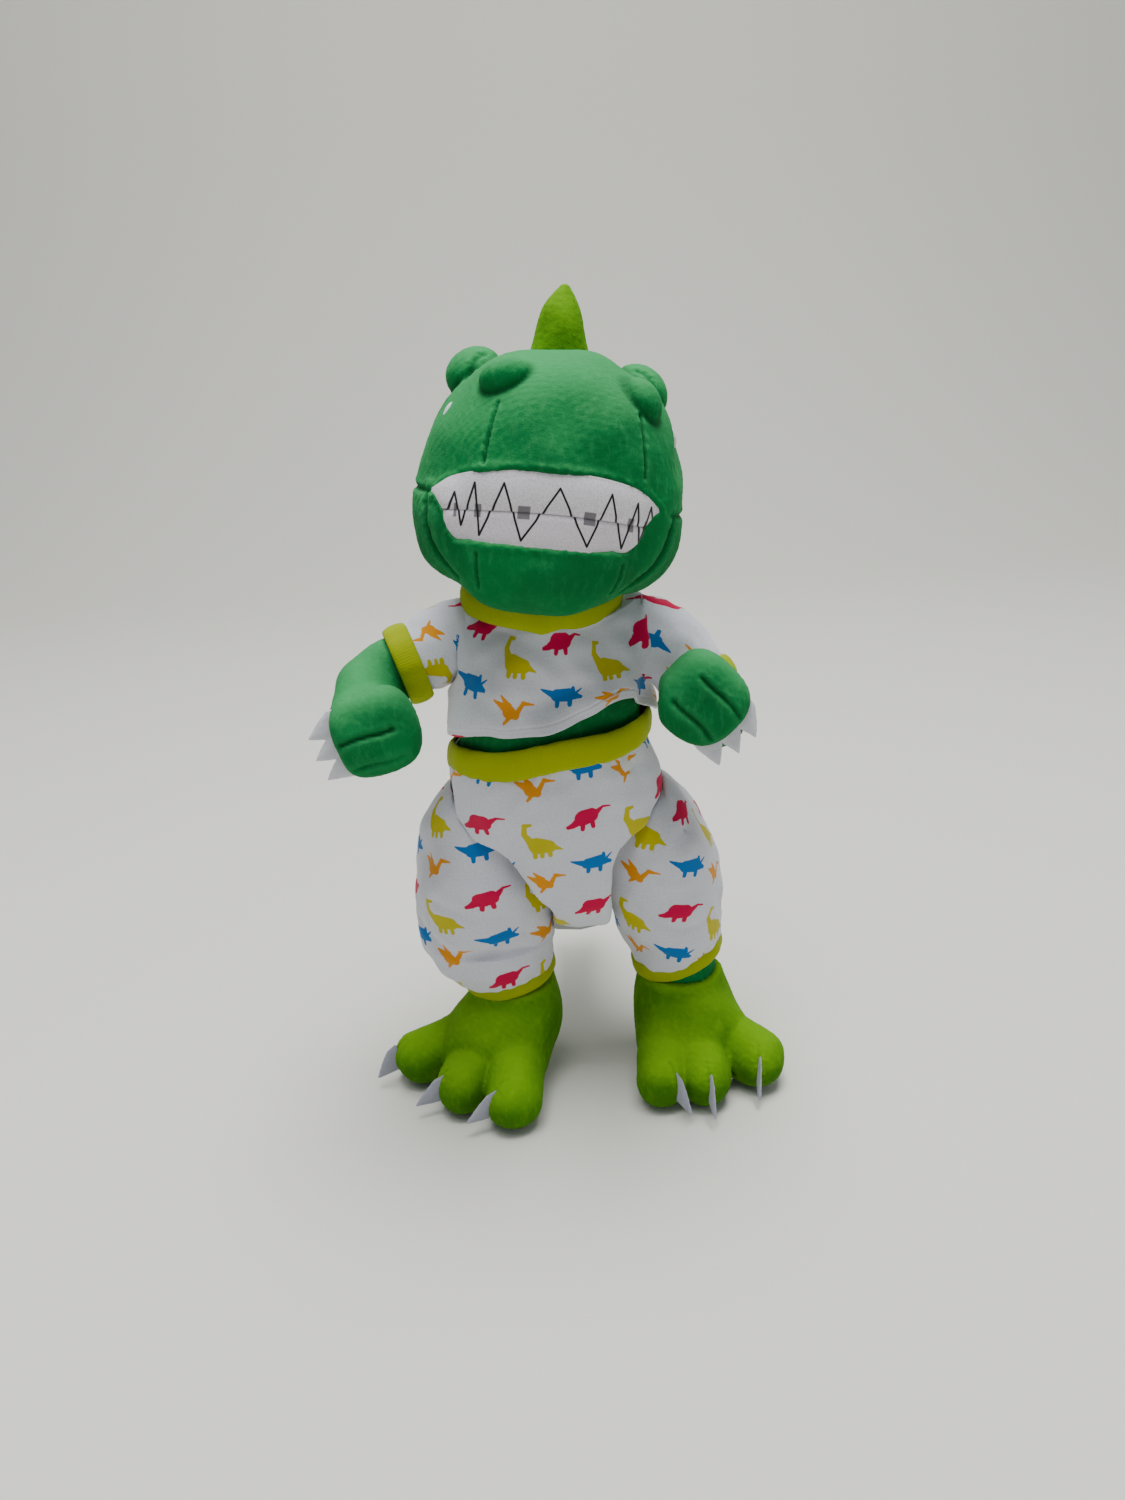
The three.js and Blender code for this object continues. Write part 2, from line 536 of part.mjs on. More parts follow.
function legPieces(side) {
  const space = legSpace(side);
  const { centre, tilt } = LEGS[side].cuff;
  const { height, radius } = LEG_CUFF;
  const aboveAnkle = above(ANKLE_HEIGHT + GAP);
  const aboveCuff = above(centre[2] + (height / 2 + GAP) / Math.cos(tilt), tilt, centre[0]);
  const clothing = JERSEY + TROUSER_SLACK;
  const cloth = legForm(side, 0).subtract(legForm(side, JERSEY)).intersect(space);
  const skin = legForm(side, clothing).subtract(legForm(side, clothing + PLUSH)).intersect(space);
  const foot = footForm(side, 0);
  const filling = legForm(side, clothing + FILLING_INSET, 8).intersect(space)
    .intersect(above(ANKLE_HEIGHT - FILLING_INSET)).add(footForm(side, FILLING_INSET));
  return [
    mesh(`trouser_leg_${side}`, cloth.intersect(aboveCuff), jersey()),
    mesh(`trouser_cuff_${side}`, ring(centre, height, radius - 2, radius, [0, tilt], 16), limeRib()),
    mesh(`leg_skin_${side}`, skin.intersect(aboveAnkle), greenPlush()),
    mesh(`foot_skin_${side}`, foot.subtract(footForm(side, PLUSH)), limePlush()),
    mesh(`leg_stuffing_${side}`, filling, fibrefill()),
    ...footClaws(side, foot),
  ];
}

// ---- tail ---------------------------------------------------------------------------------------------------

function tailPieces() {
  const from = (y) => block([-FAR, y, -FAR], [FAR, FAR, FAR]);
  const behind = from(TAIL_PIVOT[1]).add(ball(TAIL_PIVOT, TAIL_ROOT));
  const skin = shell(TAIL, 0, PLUSH, 12).intersect(behind).intersect(from(TAIL_SEAM));
  return [
    mesh('tail_skin', skin, greenPlush()),
    mesh('tail_stuffing', padded(TAIL, FILLING_INSET, 8).intersect(behind), fibrefill()),
    mesh('tail_spike', spike([8, 78, 96], 8, 18, -0.5).subtract(padded(TAIL, -GAP, 12)), limePlush()),
  ];
}

// ---- the toy --------------------------------------------------------------------------------------------------

const toy = new THREE.Group();
toy.add(...torsoPieces(), ...trouserPieces(), ...shirtPieces(), ...neckPieces(), headPieces());
for (const side of ['left', 'right']) {
  toy.add(...armPieces(side), ...legPieces(side));
}
toy.add(...tailPieces());
toy.position.set(-BOX_CENTRE[0], -BOX_CENTRE[1], 0);

export default toy;
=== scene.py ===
"""The looks of a stuffed dinosaur in pyjamas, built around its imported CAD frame.

Shapes are worked out in millimetres in the toy's own frame: +Z up, facing -Y, its left side on +X,
with x = 0 and y = 0 through the middle of the body. piece() moves them into the CAD's frame.
"""
import json
import math

import bpy
import numpy as np
import openvdb
from mathutils import Matrix, Vector


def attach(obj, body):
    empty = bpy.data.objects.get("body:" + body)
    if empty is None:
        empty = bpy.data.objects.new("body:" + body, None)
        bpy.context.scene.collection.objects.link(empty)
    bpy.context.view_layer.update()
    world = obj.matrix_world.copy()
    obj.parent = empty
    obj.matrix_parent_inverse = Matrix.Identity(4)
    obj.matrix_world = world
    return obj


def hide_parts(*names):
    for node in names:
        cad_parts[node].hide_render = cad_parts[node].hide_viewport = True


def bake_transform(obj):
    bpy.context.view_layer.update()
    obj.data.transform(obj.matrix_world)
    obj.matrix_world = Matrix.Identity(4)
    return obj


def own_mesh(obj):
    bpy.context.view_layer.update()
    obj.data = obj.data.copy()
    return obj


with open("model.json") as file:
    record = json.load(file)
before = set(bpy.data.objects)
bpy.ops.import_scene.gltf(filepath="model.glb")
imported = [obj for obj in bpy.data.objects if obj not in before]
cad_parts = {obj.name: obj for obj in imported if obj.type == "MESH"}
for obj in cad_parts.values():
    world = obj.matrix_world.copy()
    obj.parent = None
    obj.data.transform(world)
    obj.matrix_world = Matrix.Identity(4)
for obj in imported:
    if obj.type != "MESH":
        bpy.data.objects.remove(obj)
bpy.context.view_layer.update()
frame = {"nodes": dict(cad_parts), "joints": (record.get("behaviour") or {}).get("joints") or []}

MM = 0.001
UV_SCALE = 0.01  # cloth coordinates are kept in units of 100 mm
SIDES = {"left": 1, "right": -1}
JOINT_AT = {joint["name"]: np.array(joint["pos_m"]) / MM for joint in frame["joints"]}
NECK = np.array([2.0, 0.0, 260.0])  # the neck's joint in the toy's own frame
ORIGIN = JOINT_AT["neck_turn"] - NECK  # the toy's own origin in the CAD's frame


# ---- vectors and fields: a field is negative inside a form and grows outwards, in millimetres ----

def vec(*numbers):
    return np.array(numbers, dtype=np.float64)


def unit(direction):
    """The direction as a vector one millimetre long."""
    direction = np.array(direction, float)
    return direction / np.linalg.norm(direction)


def smooth_min(a, b, blend):
    """The union of two fields, rounded where they meet."""
    share = np.clip(0.5 + 0.5 * (b - a) / blend, 0, 1)
    return b * (1 - share) + a * share - blend * share * (1 - share)


def smooth_max(a, b, blend):
    """What two fields have in common, rounded where they meet."""
    return -smooth_min(-a, -b, blend)


def smooth_step(low, high, value):
    """0 at low and 1 at high, with a soft start and end."""
    share = np.clip((value - low) / (high - low), 0, 1)
    return share * share * (3 - 2 * share)


def through(knots, values, at):
    """A smooth curve through values at knots."""
    knots = np.asarray(knots, float)
    values = np.asarray(values, float)
    slopes = np.gradient(values, knots)
    at = np.clip(at, knots[0], knots[-1])
    i = np.clip(np.searchsorted(knots, at) - 1, 0, len(knots) - 2)
    span = knots[i + 1] - knots[i]
    t = (at - knots[i]) / span
    start = (1 + 2 * t) * (1 - t) ** 2
    end = t * t * (3 - 2 * t)
    lean = span * (t * (1 - t) ** 2 * slopes[i] - t * t * (1 - t) * slopes[i + 1])
    return values[i] * start + values[i + 1] * end + lean


def spline(points, count=40):
    """count points along a smooth curve through the given points."""
    points = np.asarray(points, float)
    steps = np.linalg.norm(np.diff(points, axis=0), axis=1)
    knots = np.concatenate([[0], np.cumsum(steps)])
    at = np.linspace(0, knots[-1], count)
    return np.stack([through(knots, points[:, axis], at) for axis in range(points.shape[1])], axis=1)


def turned(degrees):
    """The rotation by degrees about Z, then Y, then X."""
    x, y, z = (Matrix.Rotation(math.radians(angle), 3, axis) for angle, axis in zip(degrees, "XYZ"))
    return np.array(x @ y @ z)


def rounded(points, half, squareness=2.0):
    """A rounded block about the origin: 2 is an ellipsoid, a larger squareness is boxier."""
    share = np.abs(points) / half
    size = np.maximum((share ** squareness).sum(axis=-1), 1e-9) ** (1 / squareness)
    lean = (share ** (squareness - 1) / half) ** 2
    slope = np.sqrt(lean.sum(axis=-1)) * size ** (1 - squareness)
    return (size - 1) / np.maximum(slope, 1e-6)


def segment(points, a, b):
    """Distance to a line between two points, and how far along it the nearest place is."""
    along = b - a
    share = np.clip(((points - a) @ along) / max(along @ along, 1e-9), 0, 1)
    return np.linalg.norm(points - a - share[..., None] * along, axis=-1), share


def limb(points, path, radii, blend=3.0, count=14):
    """A tube along a smooth path whose radius changes evenly from knot to knot."""
    dense = spline(np.column_stack([path, radii]), count)
    field = None
    for (start, end) in zip(dense[:-1], dense[1:]):
        distance, share = segment(points, start[:3], end[:3])
        part = distance - (start[3] + (end[3] - start[3]) * share)
        field = part if field is None else smooth_min(field, part, blend)
    return field


def column(points, rows):
    """An upright form given by rows of (height, x, y, half width, half depth)."""
    rows = np.asarray(rows, float)
    z = points[..., 2]
    x, y = (through(rows[:, 0], rows[:, i], z) for i in (1, 2))
    width, depth = (np.sqrt(np.maximum(through(rows[:, 0], rows[:, i] ** 2, z), 1)) for i in (3, 4))
    across = (points[..., 0] - x) / width
    deep = (points[..., 1] - y) / depth
    size = np.maximum(np.hypot(across, deep), 1e-6)
    slope = np.hypot(across / width, deep / depth) / size
    field = (size - 1) / np.maximum(slope, 1e-6)
    return np.maximum(field, np.maximum(rows[0, 0] - z, z - rows[-1, 0]))


def ripple(points, wavelength, seed, count=16):
    """Smooth noise of about unit size: a sum of waves in random directions."""
    rng = np.random.default_rng(seed)
    total = np.zeros(points.shape[:-1])
    for _ in range(count):
        direction = rng.normal(size=3)
        direction *= 2 * math.pi / (wavelength * rng.uniform(0.7, 1.4) * np.linalg.norm(direction))
        total += np.sin(points @ direction + rng.uniform(0, 2 * math.pi))
    return total * math.sqrt(2 / count)


def near(points, path, width):
    """1 on a path and fading to 0 within about twice the width from it."""
    path = np.asarray(path, float)
    result = np.zeros(len(points))
    low = path.min(axis=0) - 3 * width
    high = path.max(axis=0) + 3 * width
    inside = np.all((points > low) & (points < high), axis=1)
    chosen = points[inside]
    if not len(chosen):
        return result
    distance = np.full(len(chosen), 1e9)
    for start, end in zip(path[:-1], path[1:]):
        distance = np.minimum(distance, segment(chosen, start, end)[0])
    result[inside] = np.exp(-(distance / width) ** 2)
    return result


def folds(points, paths):
    """How far a cloth's folds move its points: paths holds (points on the fold, height, width) of each."""
    return sum(height * near(points, spline(path, 24), width) for path, height, width in paths)


# ---- meshes --------------------------------------------------------------------------------------

BLOCK = 4  # voxels to a side of the blocks that surface() looks at first


def lattice(counts):
    """Whole-number places of a grid with the given counts."""
    steps = (np.arange(count) for count in counts)
    return np.stack(np.meshgrid(*steps, indexing="ij"), axis=-1).astype(float)


def surface(field, low, high, voxel):
    """The surface on which a field is zero, as points and quads."""
    width = BLOCK * voxel
    counts = np.ceil((np.asarray(high, float) - low) / width).astype(int)
    corners = lattice(counts) * width + low
    coarse = field(corners + (width - voxel) / 2)
    beyond = (np.sign(coarse) * width)[..., None, None, None]
    values = np.broadcast_to(beyond, (*counts, BLOCK, BLOCK, BLOCK)).copy()
    close = np.abs(coarse) < width * 1.6
    places = corners[close][:, None, None, None] + lattice((BLOCK, BLOCK, BLOCK)) * voxel
    values[close] = field(places)
    values = values.transpose(0, 3, 1, 4, 2, 5).reshape(counts * BLOCK)
    grid = openvdb.FloatGrid(background=float(width))
    grid.copyFromArray(np.clip(values, -width, width).astype(np.float32))
    points, quads = grid.convertToQuads(isovalue=0.0)
    points = points.astype(np.float64) * voxel + np.asarray(low, float)
    return facing_out(points, np.asarray(quads, dtype=np.int64))


def facing_out(points, quads):
    """The quads in the order that makes them face outwards."""
    a, b, c, d = (points[quads[:, i]] for i in range(4))
    volume = (a * np.cross(b, c)).sum() + (a * np.cross(c, d)).sum()
    return points, (quads if volume > 0 else quads[:, ::-1])


def normals(points, quads):
    """The outward direction at each point."""
    a, b, c, d = (points[quads[:, i]] for i in range(4))
    across = np.cross(c - a, d - b)
    total = np.zeros_like(points)
    for i in range(4):
        np.add.at(total, quads[:, i], across)
    return total / np.maximum(np.linalg.norm(total, axis=1, keepdims=True), 1e-9)


def pushed(points, quads, amount):
    """Moves each point outwards by its amount."""
    return points + normals(points, quads) * amount[:, None]


def tube(rows, closed=False):
    """Quads of a grid of points that closes around its second direction, or around both."""
    along, around = rows.shape[:2]
    index = np.arange(along * around).reshape(along, around)
    nearer, farther = index, np.roll(index, -1, 0)
    if not closed:
        nearer, farther = nearer[:-1], farther[:-1]
    quads = np.stack([nearer, np.roll(nearer, -1, 1), np.roll(farther, -1, 1), farther], axis=-1)
    return rows.reshape(-1, 3), quads.reshape(-1, 4)


def patch(rows):
    """Quads of an open grid of points."""
    along, around = rows.shape[:2]
    index = np.arange(along * around).reshape(along, around)
    quads = np.stack([index[:-1, :-1], index[:-1, 1:], index[1:, 1:], index[1:, :-1]], axis=-1)
    return rows.reshape(-1, 3), quads.reshape(-1, 4)


def piece(name, points, quads, material, body, stands_for=(), uv=None, crease=None):
    """A mesh object from points in the toy's own frame, riding on a CAD body."""
    mesh = bpy.data.meshes.new(name)
    placed = (points + ORIGIN) * MM
    mesh.vertices.add(len(placed))
    mesh.vertices.foreach_set("co", placed.astype(np.float32).ravel())
    mesh.loops.add(quads.size)
    mesh.loops.foreach_set("vertex_index", quads.astype(np.int32).ravel())
    mesh.polygons.add(len(quads))
    mesh.polygons.foreach_set("loop_start", np.arange(0, quads.size, quads.shape[1], dtype=np.int32))
    mesh.update(calc_edges=True)
    mesh.polygons.foreach_set("use_smooth", np.ones(len(quads), dtype=bool))
    if uv is not None:
        layer = mesh.uv_layers.new(name="cloth")
        layer.data.foreach_set("uv", (uv * UV_SCALE).astype(np.float32).ravel())
    if crease is not None:
        values = mesh.attributes.new("crease", "FLOAT", "POINT")
        values.data.foreach_set("value", crease.astype(np.float32))
    mesh.validate()
    mesh.materials.append(material)
    made = bpy.data.objects.new(name, mesh)
    bpy.context.collection.objects.link(made)
    if body is not None:
        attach(made, body)
    if stands_for:
        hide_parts(*stands_for)
    return made


def thickened(made, thickness):
    """Gives a sheet its thickness, inwards from its outer face."""
    solidify = made.modifiers.new("thickness", "SOLIDIFY")
    solidify.thickness = thickness * MM
    solidify.offset = -1.0
    solidify.use_quality_normals = True


def grid_uv(u, v, wraps):
    """Cloth coordinates of every corner of the quads that tube() or patch() makes, in millimetres."""
    if wraps:
        u = np.concatenate([u, u[:, :1] + (u[:, -1:] - u[:, :1]) * u.shape[1] / (u.shape[1] - 1)], axis=1)
        v = np.concatenate([v, v[:, :1]], axis=1)
    corners = [(slice(None, -1), slice(None, -1)), (slice(None, -1), slice(1, None)),
               (slice(1, None), slice(1, None)), (slice(1, None), slice(None, -1))]
    return np.stack([np.stack([u[c], v[c]], axis=-1) for c in corners], axis=2).reshape(-1, 2)


def reversed_uv(uv):
    """Cloth coordinates for quads whose corners run the other way round."""
    return uv.reshape(-1, 4, 2)[:, ::-1].reshape(-1, 2)


def matched_uv(uv, quads, faced):
    """Cloth coordinates made for quads, in the order that facing_out() has given them."""
    return uv if faced[0, 0] == quads[0, 0] else reversed_uv(uv)


def around_uv(points, quads, centre_x, centre_y, radius):
    """Cloth coordinates of a free mesh, wrapped around an upright line, joined at the back."""
    angle = np.arctan2(points[:, 0] - centre_x, -(points[:, 1] - centre_y))
    corner = angle[quads]
    crossing = corner.max(axis=1) - corner.min(axis=1) > math.pi
    corner[crossing] = np.where(corner[crossing] < 0, corner[crossing] + 2 * math.pi, corner[crossing])
    return np.stack([corner * radius, points[:, 2][quads]], axis=-1).reshape(-1, 2)


def reach(field, centres, directions, far, samples=48):
    """Where rays that start at centres last leave a form."""
    steps = np.linspace(far, 0.0, samples)
    found = np.zeros(centres.shape[:-1])
    open_ray = np.ones(centres.shape[:-1], dtype=bool)
    before = field(centres + directions * far)
    for outer, inner in zip(steps[:-1], steps[1:]):
        value = field(centres + directions * inner)
        hit = open_ray & (value < 0)
        share = before / np.maximum(before - value, 1e-6)
        found = np.where(hit, outer + (inner - outer) * np.clip(share, 0, 1), found)
        open_ray &= ~hit
        before = value
    return centres + directions * found[..., None]


# ---- materials -----------------------------------------------------------------------------------

class Nodes:
    """A material's node tree, with short calls for the nodes that repeat."""

    def __init__(self, tree):
        self.tree = tree

    def put(self, kind, settings=(), values=()):
        node = self.tree.nodes.new(kind)
        for key, value in dict(settings).items():
            setattr(node, key, value)
        for key, value in dict(values).items():
            self.give(node.inputs[key], value)
        return node

    def give(self, socket, value):
        if isinstance(value, bpy.types.NodeSocket):
            self.tree.links.new(value, socket)
        else:
            socket.default_value = value

    def math(self, operation, a, b=0.0, clamp=False):
        settings = {"operation": operation, "use_clamp": clamp}
        return self.put("ShaderNodeMath", settings, {0: a, 1: b}).outputs[0]

    def vector(self, operation, a, b=(0, 0, 0), scale=1.0):
        values = {0: a, "Scale": scale} if operation == "SCALE" else {0: a, 1: b}
        node = self.put("ShaderNodeVectorMath", {"operation": operation}, values)
        return node.outputs["Value" if operation in ("DOT_PRODUCT", "LENGTH") else "Vector"]

    def mix(self, share, a, b):
        node = self.put("ShaderNodeMix", {"data_type": "RGBA"}, {0: share, 6: a, 7: b})
        return node.outputs[2]

    def tinted(self, colour, ink, where, most):
        """The colour with ink over it, at most this much of it, where the value is 1."""
        return self.mix(self.math("MULTIPLY", where, most), colour, ink)

    def noise(self, place, scale, detail=2.0, roughness=0.5, distortion=0.0):
        values = {"Vector": place, "Scale": scale, "Detail": detail, "Roughness": roughness,
                  "Distortion": distortion}
        return self.put("ShaderNodeTexNoise", (), values).outputs["Fac"]

    def band(self, value, low, high):
        """0 below low, 1 above high, straight between them."""
        values = {"Value": value, "From Min": low, "From Max": high}
        return self.put("ShaderNodeMapRange", {"clamp": True}, values).outputs["Result"]

    def bump(self, height, strength, distance):
        values = {"Height": height, "Strength": strength, "Distance": distance}
        return self.put("ShaderNodeBump", (), values).outputs["Normal"]

    def on_object(self):
        """Places on the piece, in metres."""
        return self.put("ShaderNodeTexCoord").outputs["Object"]

    def on_cloth(self):
        """The piece's cloth coordinates."""
        return self.put("ShaderNodeUVMap", {"uv_map": "cloth"}).outputs["UV"]

    def crease(self):
        """The crease value that piece() has stored at the points."""
        return self.put("ShaderNodeAttribute", {"attribute_name": "crease"}).outputs["Fac"]

    def waves(self, place, scale, distortion):
        """Parallel bands across the cloth."""
        values = {"Vector": place, "Scale": scale, "Distortion": distortion, "Detail": 1.0}
        settings = {"wave_type": "BANDS", "bands_direction": "X"}
        return self.put("ShaderNodeTexWave", settings, values).outputs["Fac"]

    def from_bars(self, place, bars):
        """Distance to the nearest bar: (start x, y, end x, y, start radius, end radius)."""
        nearest = None
        for x0, y0, x1, y1, r0, r1 in bars:
            values = {"P": place, "A": (x0, y0, 0), "B": (x1, y1, 0), "RA": r0, "RB": r1}
            distance = self.put("ShaderNodeGroup", {"node_tree": BAR}, values).outputs["D"]
            nearest = distance if nearest is None else self.math("MINIMUM", nearest, distance)
        return nearest


def finished(name, colour, roughness, sheen=0.0, sheen_tint=(1, 1, 1, 1), build=None):
    """A new material: build(nodes) may return its colour and normal sockets."""
    material = bpy.data.materials.new(name)
    material.use_nodes = True
    nodes = Nodes(material.node_tree)
    shader = material.node_tree.nodes["Principled BSDF"]
    values = {"Base Color": colour, "Roughness": roughness, "Sheen Weight": sheen,
              "Sheen Tint": sheen_tint, "Sheen Roughness": 0.45, "Specular IOR Level": 0.15}
    if build is not None:
        values["Base Color"], values["Normal"] = build(nodes)
    for key, value in values.items():
        nodes.give(shader.inputs[key], value)
    return material


def rgb(red, green, blue):
    """A colour from its screen values, 0 to 255."""
    def linear(part):
        part /= 255
        return part / 12.92 if part <= 0.04045 else ((part + 0.055) / 1.055) ** 2.4
    return (linear(red), linear(green), linear(blue), 1.0)


def plush(name, dark, plain, light):
    """Short brushed pile: patches where it lies one way or the other, and fine tufts; painted light on faces
    turned up, painted shade on faces turned down, and painted shade and highlight at seams.
    """
    def build(nodes):
        place = nodes.on_object()
        patches = nodes.noise(place, 24, 2.0, 0.5, 0.3)
        streaks = nodes.noise(nodes.vector("MULTIPLY", place, (1, 1, 0.4)), 330, 3, 0.6)
        tufts = nodes.noise(place, 1500, 2, 0.6)
        facing = nodes.put("ShaderNodeNewGeometry").outputs["Normal"]
        upwards = nodes.put("ShaderNodeSeparateXYZ", (), {0: facing}).outputs["Z"]
        crease = nodes.crease()
        brushed = plain
        for ink, value, low, high, most in (
                (dark, patches, 0.35, 0.7, 0.8),
                (light, streaks, 0.5, 0.75, 0.25),
                (dark, tufts, 0.35, 0.6, 0.25),
                (light, upwards, 0.1, 1.0, 0.55),  # painted light: faces turned up are tinted lighter
                # painted shade: faces turned down are tinted darker
                (dark, upwards, 0.1, -0.8, 0.6),
                # painted shade in the seams' grooves (crease above 0) and painted highlight on their
                # shoulders (crease below 0)
                (deep, crease, 0.0, 1.0, 0.75),
                (light, crease, 0.0, -1.0, 0.35)):
            brushed = nodes.tinted(brushed, ink, nodes.band(value, low, high), most)
        rough = nodes.math("ADD", nodes.math("MULTIPLY", tufts, 0.8), nodes.math("MULTIPLY", streaks, 0.5))
        return brushed, nodes.bump(rough, 0.55, 0.0006)
    # the darker colour of the painted shade in seams and creases
    deep = tuple(0.45 * part for part in dark[:3]) + (1.0,)
    return finished(name, plain, 0.95, sheen=0.3, sheen_tint=light, build=build)


def knit(nodes, place, rows, strength):
    """The fine loops of a knitted cloth, as a normal."""
    loops = nodes.waves(place, rows, 1.5)
    fuzz = nodes.noise(place, rows * 2.5, 2)
    height = nodes.math("ADD", nodes.math("MULTIPLY", loops, 0.5), fuzz)
    return nodes.bump(height, strength, 0.0004)


def capsule_group():
    """A shader group: the distance to a tapering bar between two points on the cloth."""
    tree = bpy.data.node_groups.new("bar", "ShaderNodeTree")
    inputs = {"P": "Vector", "A": "Vector", "B": "Vector", "RA": "Float", "RB": "Float"}
    for name, kind in inputs.items():
        tree.interface.new_socket(name, in_out="INPUT", socket_type="NodeSocket" + kind)
    tree.interface.new_socket("D", in_out="OUTPUT", socket_type="NodeSocketFloat")
    nodes = Nodes(tree)
    given = nodes.put("NodeGroupInput").outputs
    from_a = nodes.vector("SUBTRACT", given["P"], given["A"])
    bar = nodes.vector("SUBTRACT", given["B"], given["A"])
    share = nodes.math("DIVIDE", nodes.vector("DOT_PRODUCT", from_a, bar),
                       nodes.vector("DOT_PRODUCT", bar, bar), clamp=True)
    along = nodes.vector("SCALE", bar, scale=share)
    away = nodes.vector("LENGTH", nodes.vector("SUBTRACT", from_a, along))
    taper = nodes.math("MULTIPLY", nodes.math("SUBTRACT", given["RB"], given["RA"]), share)
    distance = nodes.math("SUBTRACT", away, nodes.math("ADD", given["RA"], taper))
    nodes.put("NodeGroupOutput", (), {"D": distance})
    return tree


# Four small generic animals in bars: (start x, y, end x, y, start radius, end radius), millimetres.
LONG_NECK = [(-1, -3, 5, -3.5, 4.2, 3.2), (-3.2, -2, -6, 3, 2.3, 1.4), (-6, 3, -5.2, 7.5, 1.4, 1.1),
             (-5.2, 7.8, -2.6, 8, 1.2, 0.8), (6, -3.5, 11, -5.5, 2.0, 0.4), (-2, -5, -2.2, -8.6, 1.4, 1.2),
             (1.2, -6, 1, -8.6, 1.2, 1.1), (4.8, -5.5, 4.9, -8.4, 1.3, 1.1)]
HUMP_BACK = [(-2.5, 0, 2, 0.6, 3.9, 3.5), (-4.5, -1, -7.2, -2.6, 2.3, 1.5),
             (-7.2, -2.6, -9.6, -3.4, 1.5, 1.0), (4, 1, 8, 3.6, 1.7, 0.6),
             (8, 3.6, 11.4, 3.2, 0.6, 0.4), (-2.5, -2.5, -3, -5.2, 1.3, 1.1),
             (2, -2, 2.2, -4.8, 1.3, 1.1)]
FRILL_HEAD = [(-2, 0, 4, 0, 3.0, 3.4), (6, -0.5, 9.6, -1.6, 2.4, 1.0), (8, 1, 10.4, 3.0, 0.7, 0.3),
              (6, 2, 6.3, 3.7, 1.5, 0.8), (-4, 0.5, -10, 2.6, 1.8, 0.4), (-1.5, -2, -1.8, -4.9, 1.3, 1.0),
              (4.5, -2.5, 4.4, -5.0, 1.3, 1.1)]
WINGED = [(-1, -1, 2.6, -2.4, 2.9, 1.8), (-2, 0, -8, 2.6, 2.2, 0.5), (-1, 1, -4.6, 5, 1.7, 0.4),
          (3, -1.6, 5.8, 2.8, 1.3, 0.9), (5.8, 2.8, 11, 2.4, 1.1, 0.35), (0, -3, -2.4, -6, 1.2, 0.6)]
# (bars, place in the repeat as shares of it, ink)
PRINT = [(LONG_NECK, (0.5, 0.32), rgb(190, 180, 20)), (HUMP_BACK, (0.0, 0.5), rgb(198, 8, 70)),
         (FRILL_HEAD, (0.0, 0.0), rgb(0, 108, 180)), (WINGED, (0.5, 0.86), rgb(220, 142, 16))]
REPEAT = 48.5  # the print repeats every 48.5 mm, both ways
INK_EDGE = 0.12  # half the width over which ink and thread fade out, in millimetres
FAR_SHIFT = 900 * REPEAT  # whole repeats that keep the coordinates positive


def printed(name, shift, turn):
    """White jersey with the print, moved and turned on this piece; painted shade darkens sunk seams, and
    thread shows white.
    """
    def build(nodes):
        given = nodes.on_cloth()
        cloth = nodes.vector("SCALE", given, scale=1 / UV_SCALE)
        cloth = nodes.put("ShaderNodeVectorRotate", {"rotation_type": "Z_AXIS"},
                          {"Vector": cloth, "Angle": turn}).outputs["Vector"]
        cloth = nodes.vector("ADD", cloth, (shift[0], shift[1], 0))
        mottle = nodes.noise(given, 90, 3, 0.6)
        colour = nodes.mix(nodes.band(mottle, 0.35, 0.7), rgb(206, 207, 216), rgb(220, 221, 229))
        edge = nodes.math("MULTIPLY", nodes.math("SUBTRACT", nodes.noise(given, 220, 1), 0.5), 0.5)
        for bars, (across, up), ink in PRINT:
            corner = ((across - 0.5) * REPEAT, (up - 0.5) * REPEAT, 0)
            local = nodes.vector("SUBTRACT", cloth, corner)
            local = nodes.vector("ADD", local, (FAR_SHIFT, FAR_SHIFT, 0))
            local = nodes.vector("MODULO", local, (REPEAT, REPEAT, 1))
            local = nodes.vector("SUBTRACT", local, (REPEAT / 2, REPEAT / 2, 0))
            nearest = nodes.math("ADD", nodes.from_bars(local, bars), edge)
            colour = nodes.mix(nodes.band(nearest, INK_EDGE, -INK_EDGE), colour, ink)
        crease = nodes.crease()
        # painted shade along sunk seams where the crease value is above 0; white thread where it is below 0
        colour = nodes.tinted(colour, rgb(120, 118, 126), nodes.band(crease, 0.0, 1.0), 0.55)
        colour = nodes.tinted(colour, rgb(250, 248, 250), nodes.band(crease, 0.0, -1.0), 0.9)
        return colour, knit(nodes, given, 60, 0.22)
    return finished(name, rgb(220, 220, 225), 0.9, sheen=0.15, build=build)


def ribbed(name, colour, fold):
    """Rib knit with upright ribs."""
    def build(nodes):
        place = nodes.on_cloth()
        ribs = nodes.waves(place, 26.0, 0.4)
        fuzz = nodes.noise(place, 150, 2)
        shade = nodes.mix(nodes.math("MULTIPLY", fuzz, 0.5), colour, fold)
        height = nodes.math("ADD", nodes.math("MULTIPLY", ribs, 0.6), nodes.math("MULTIPLY", fuzz, 0.4))
        return shade, nodes.bump(height, 0.3, 0.0004)
    return finished(name, colour, 0.85, sheen=0.04, build=build)


def felted(name, colour, shade, mark=None):
    """Felt; where the piece's crease value is 1, it takes the colour of the mark."""
    def build(nodes):
        fibres = nodes.noise(nodes.on_object(), 900, 4, 0.7, 1.0)
        mixed = nodes.mix(fibres, colour, shade)
        if mark is not None:
            mixed = nodes.mix(nodes.crease(), mixed, mark)
        return mixed, nodes.bump(fibres, 0.5, 0.0005)
    return finished(name, colour, 0.95, sheen=0.2, build=build)


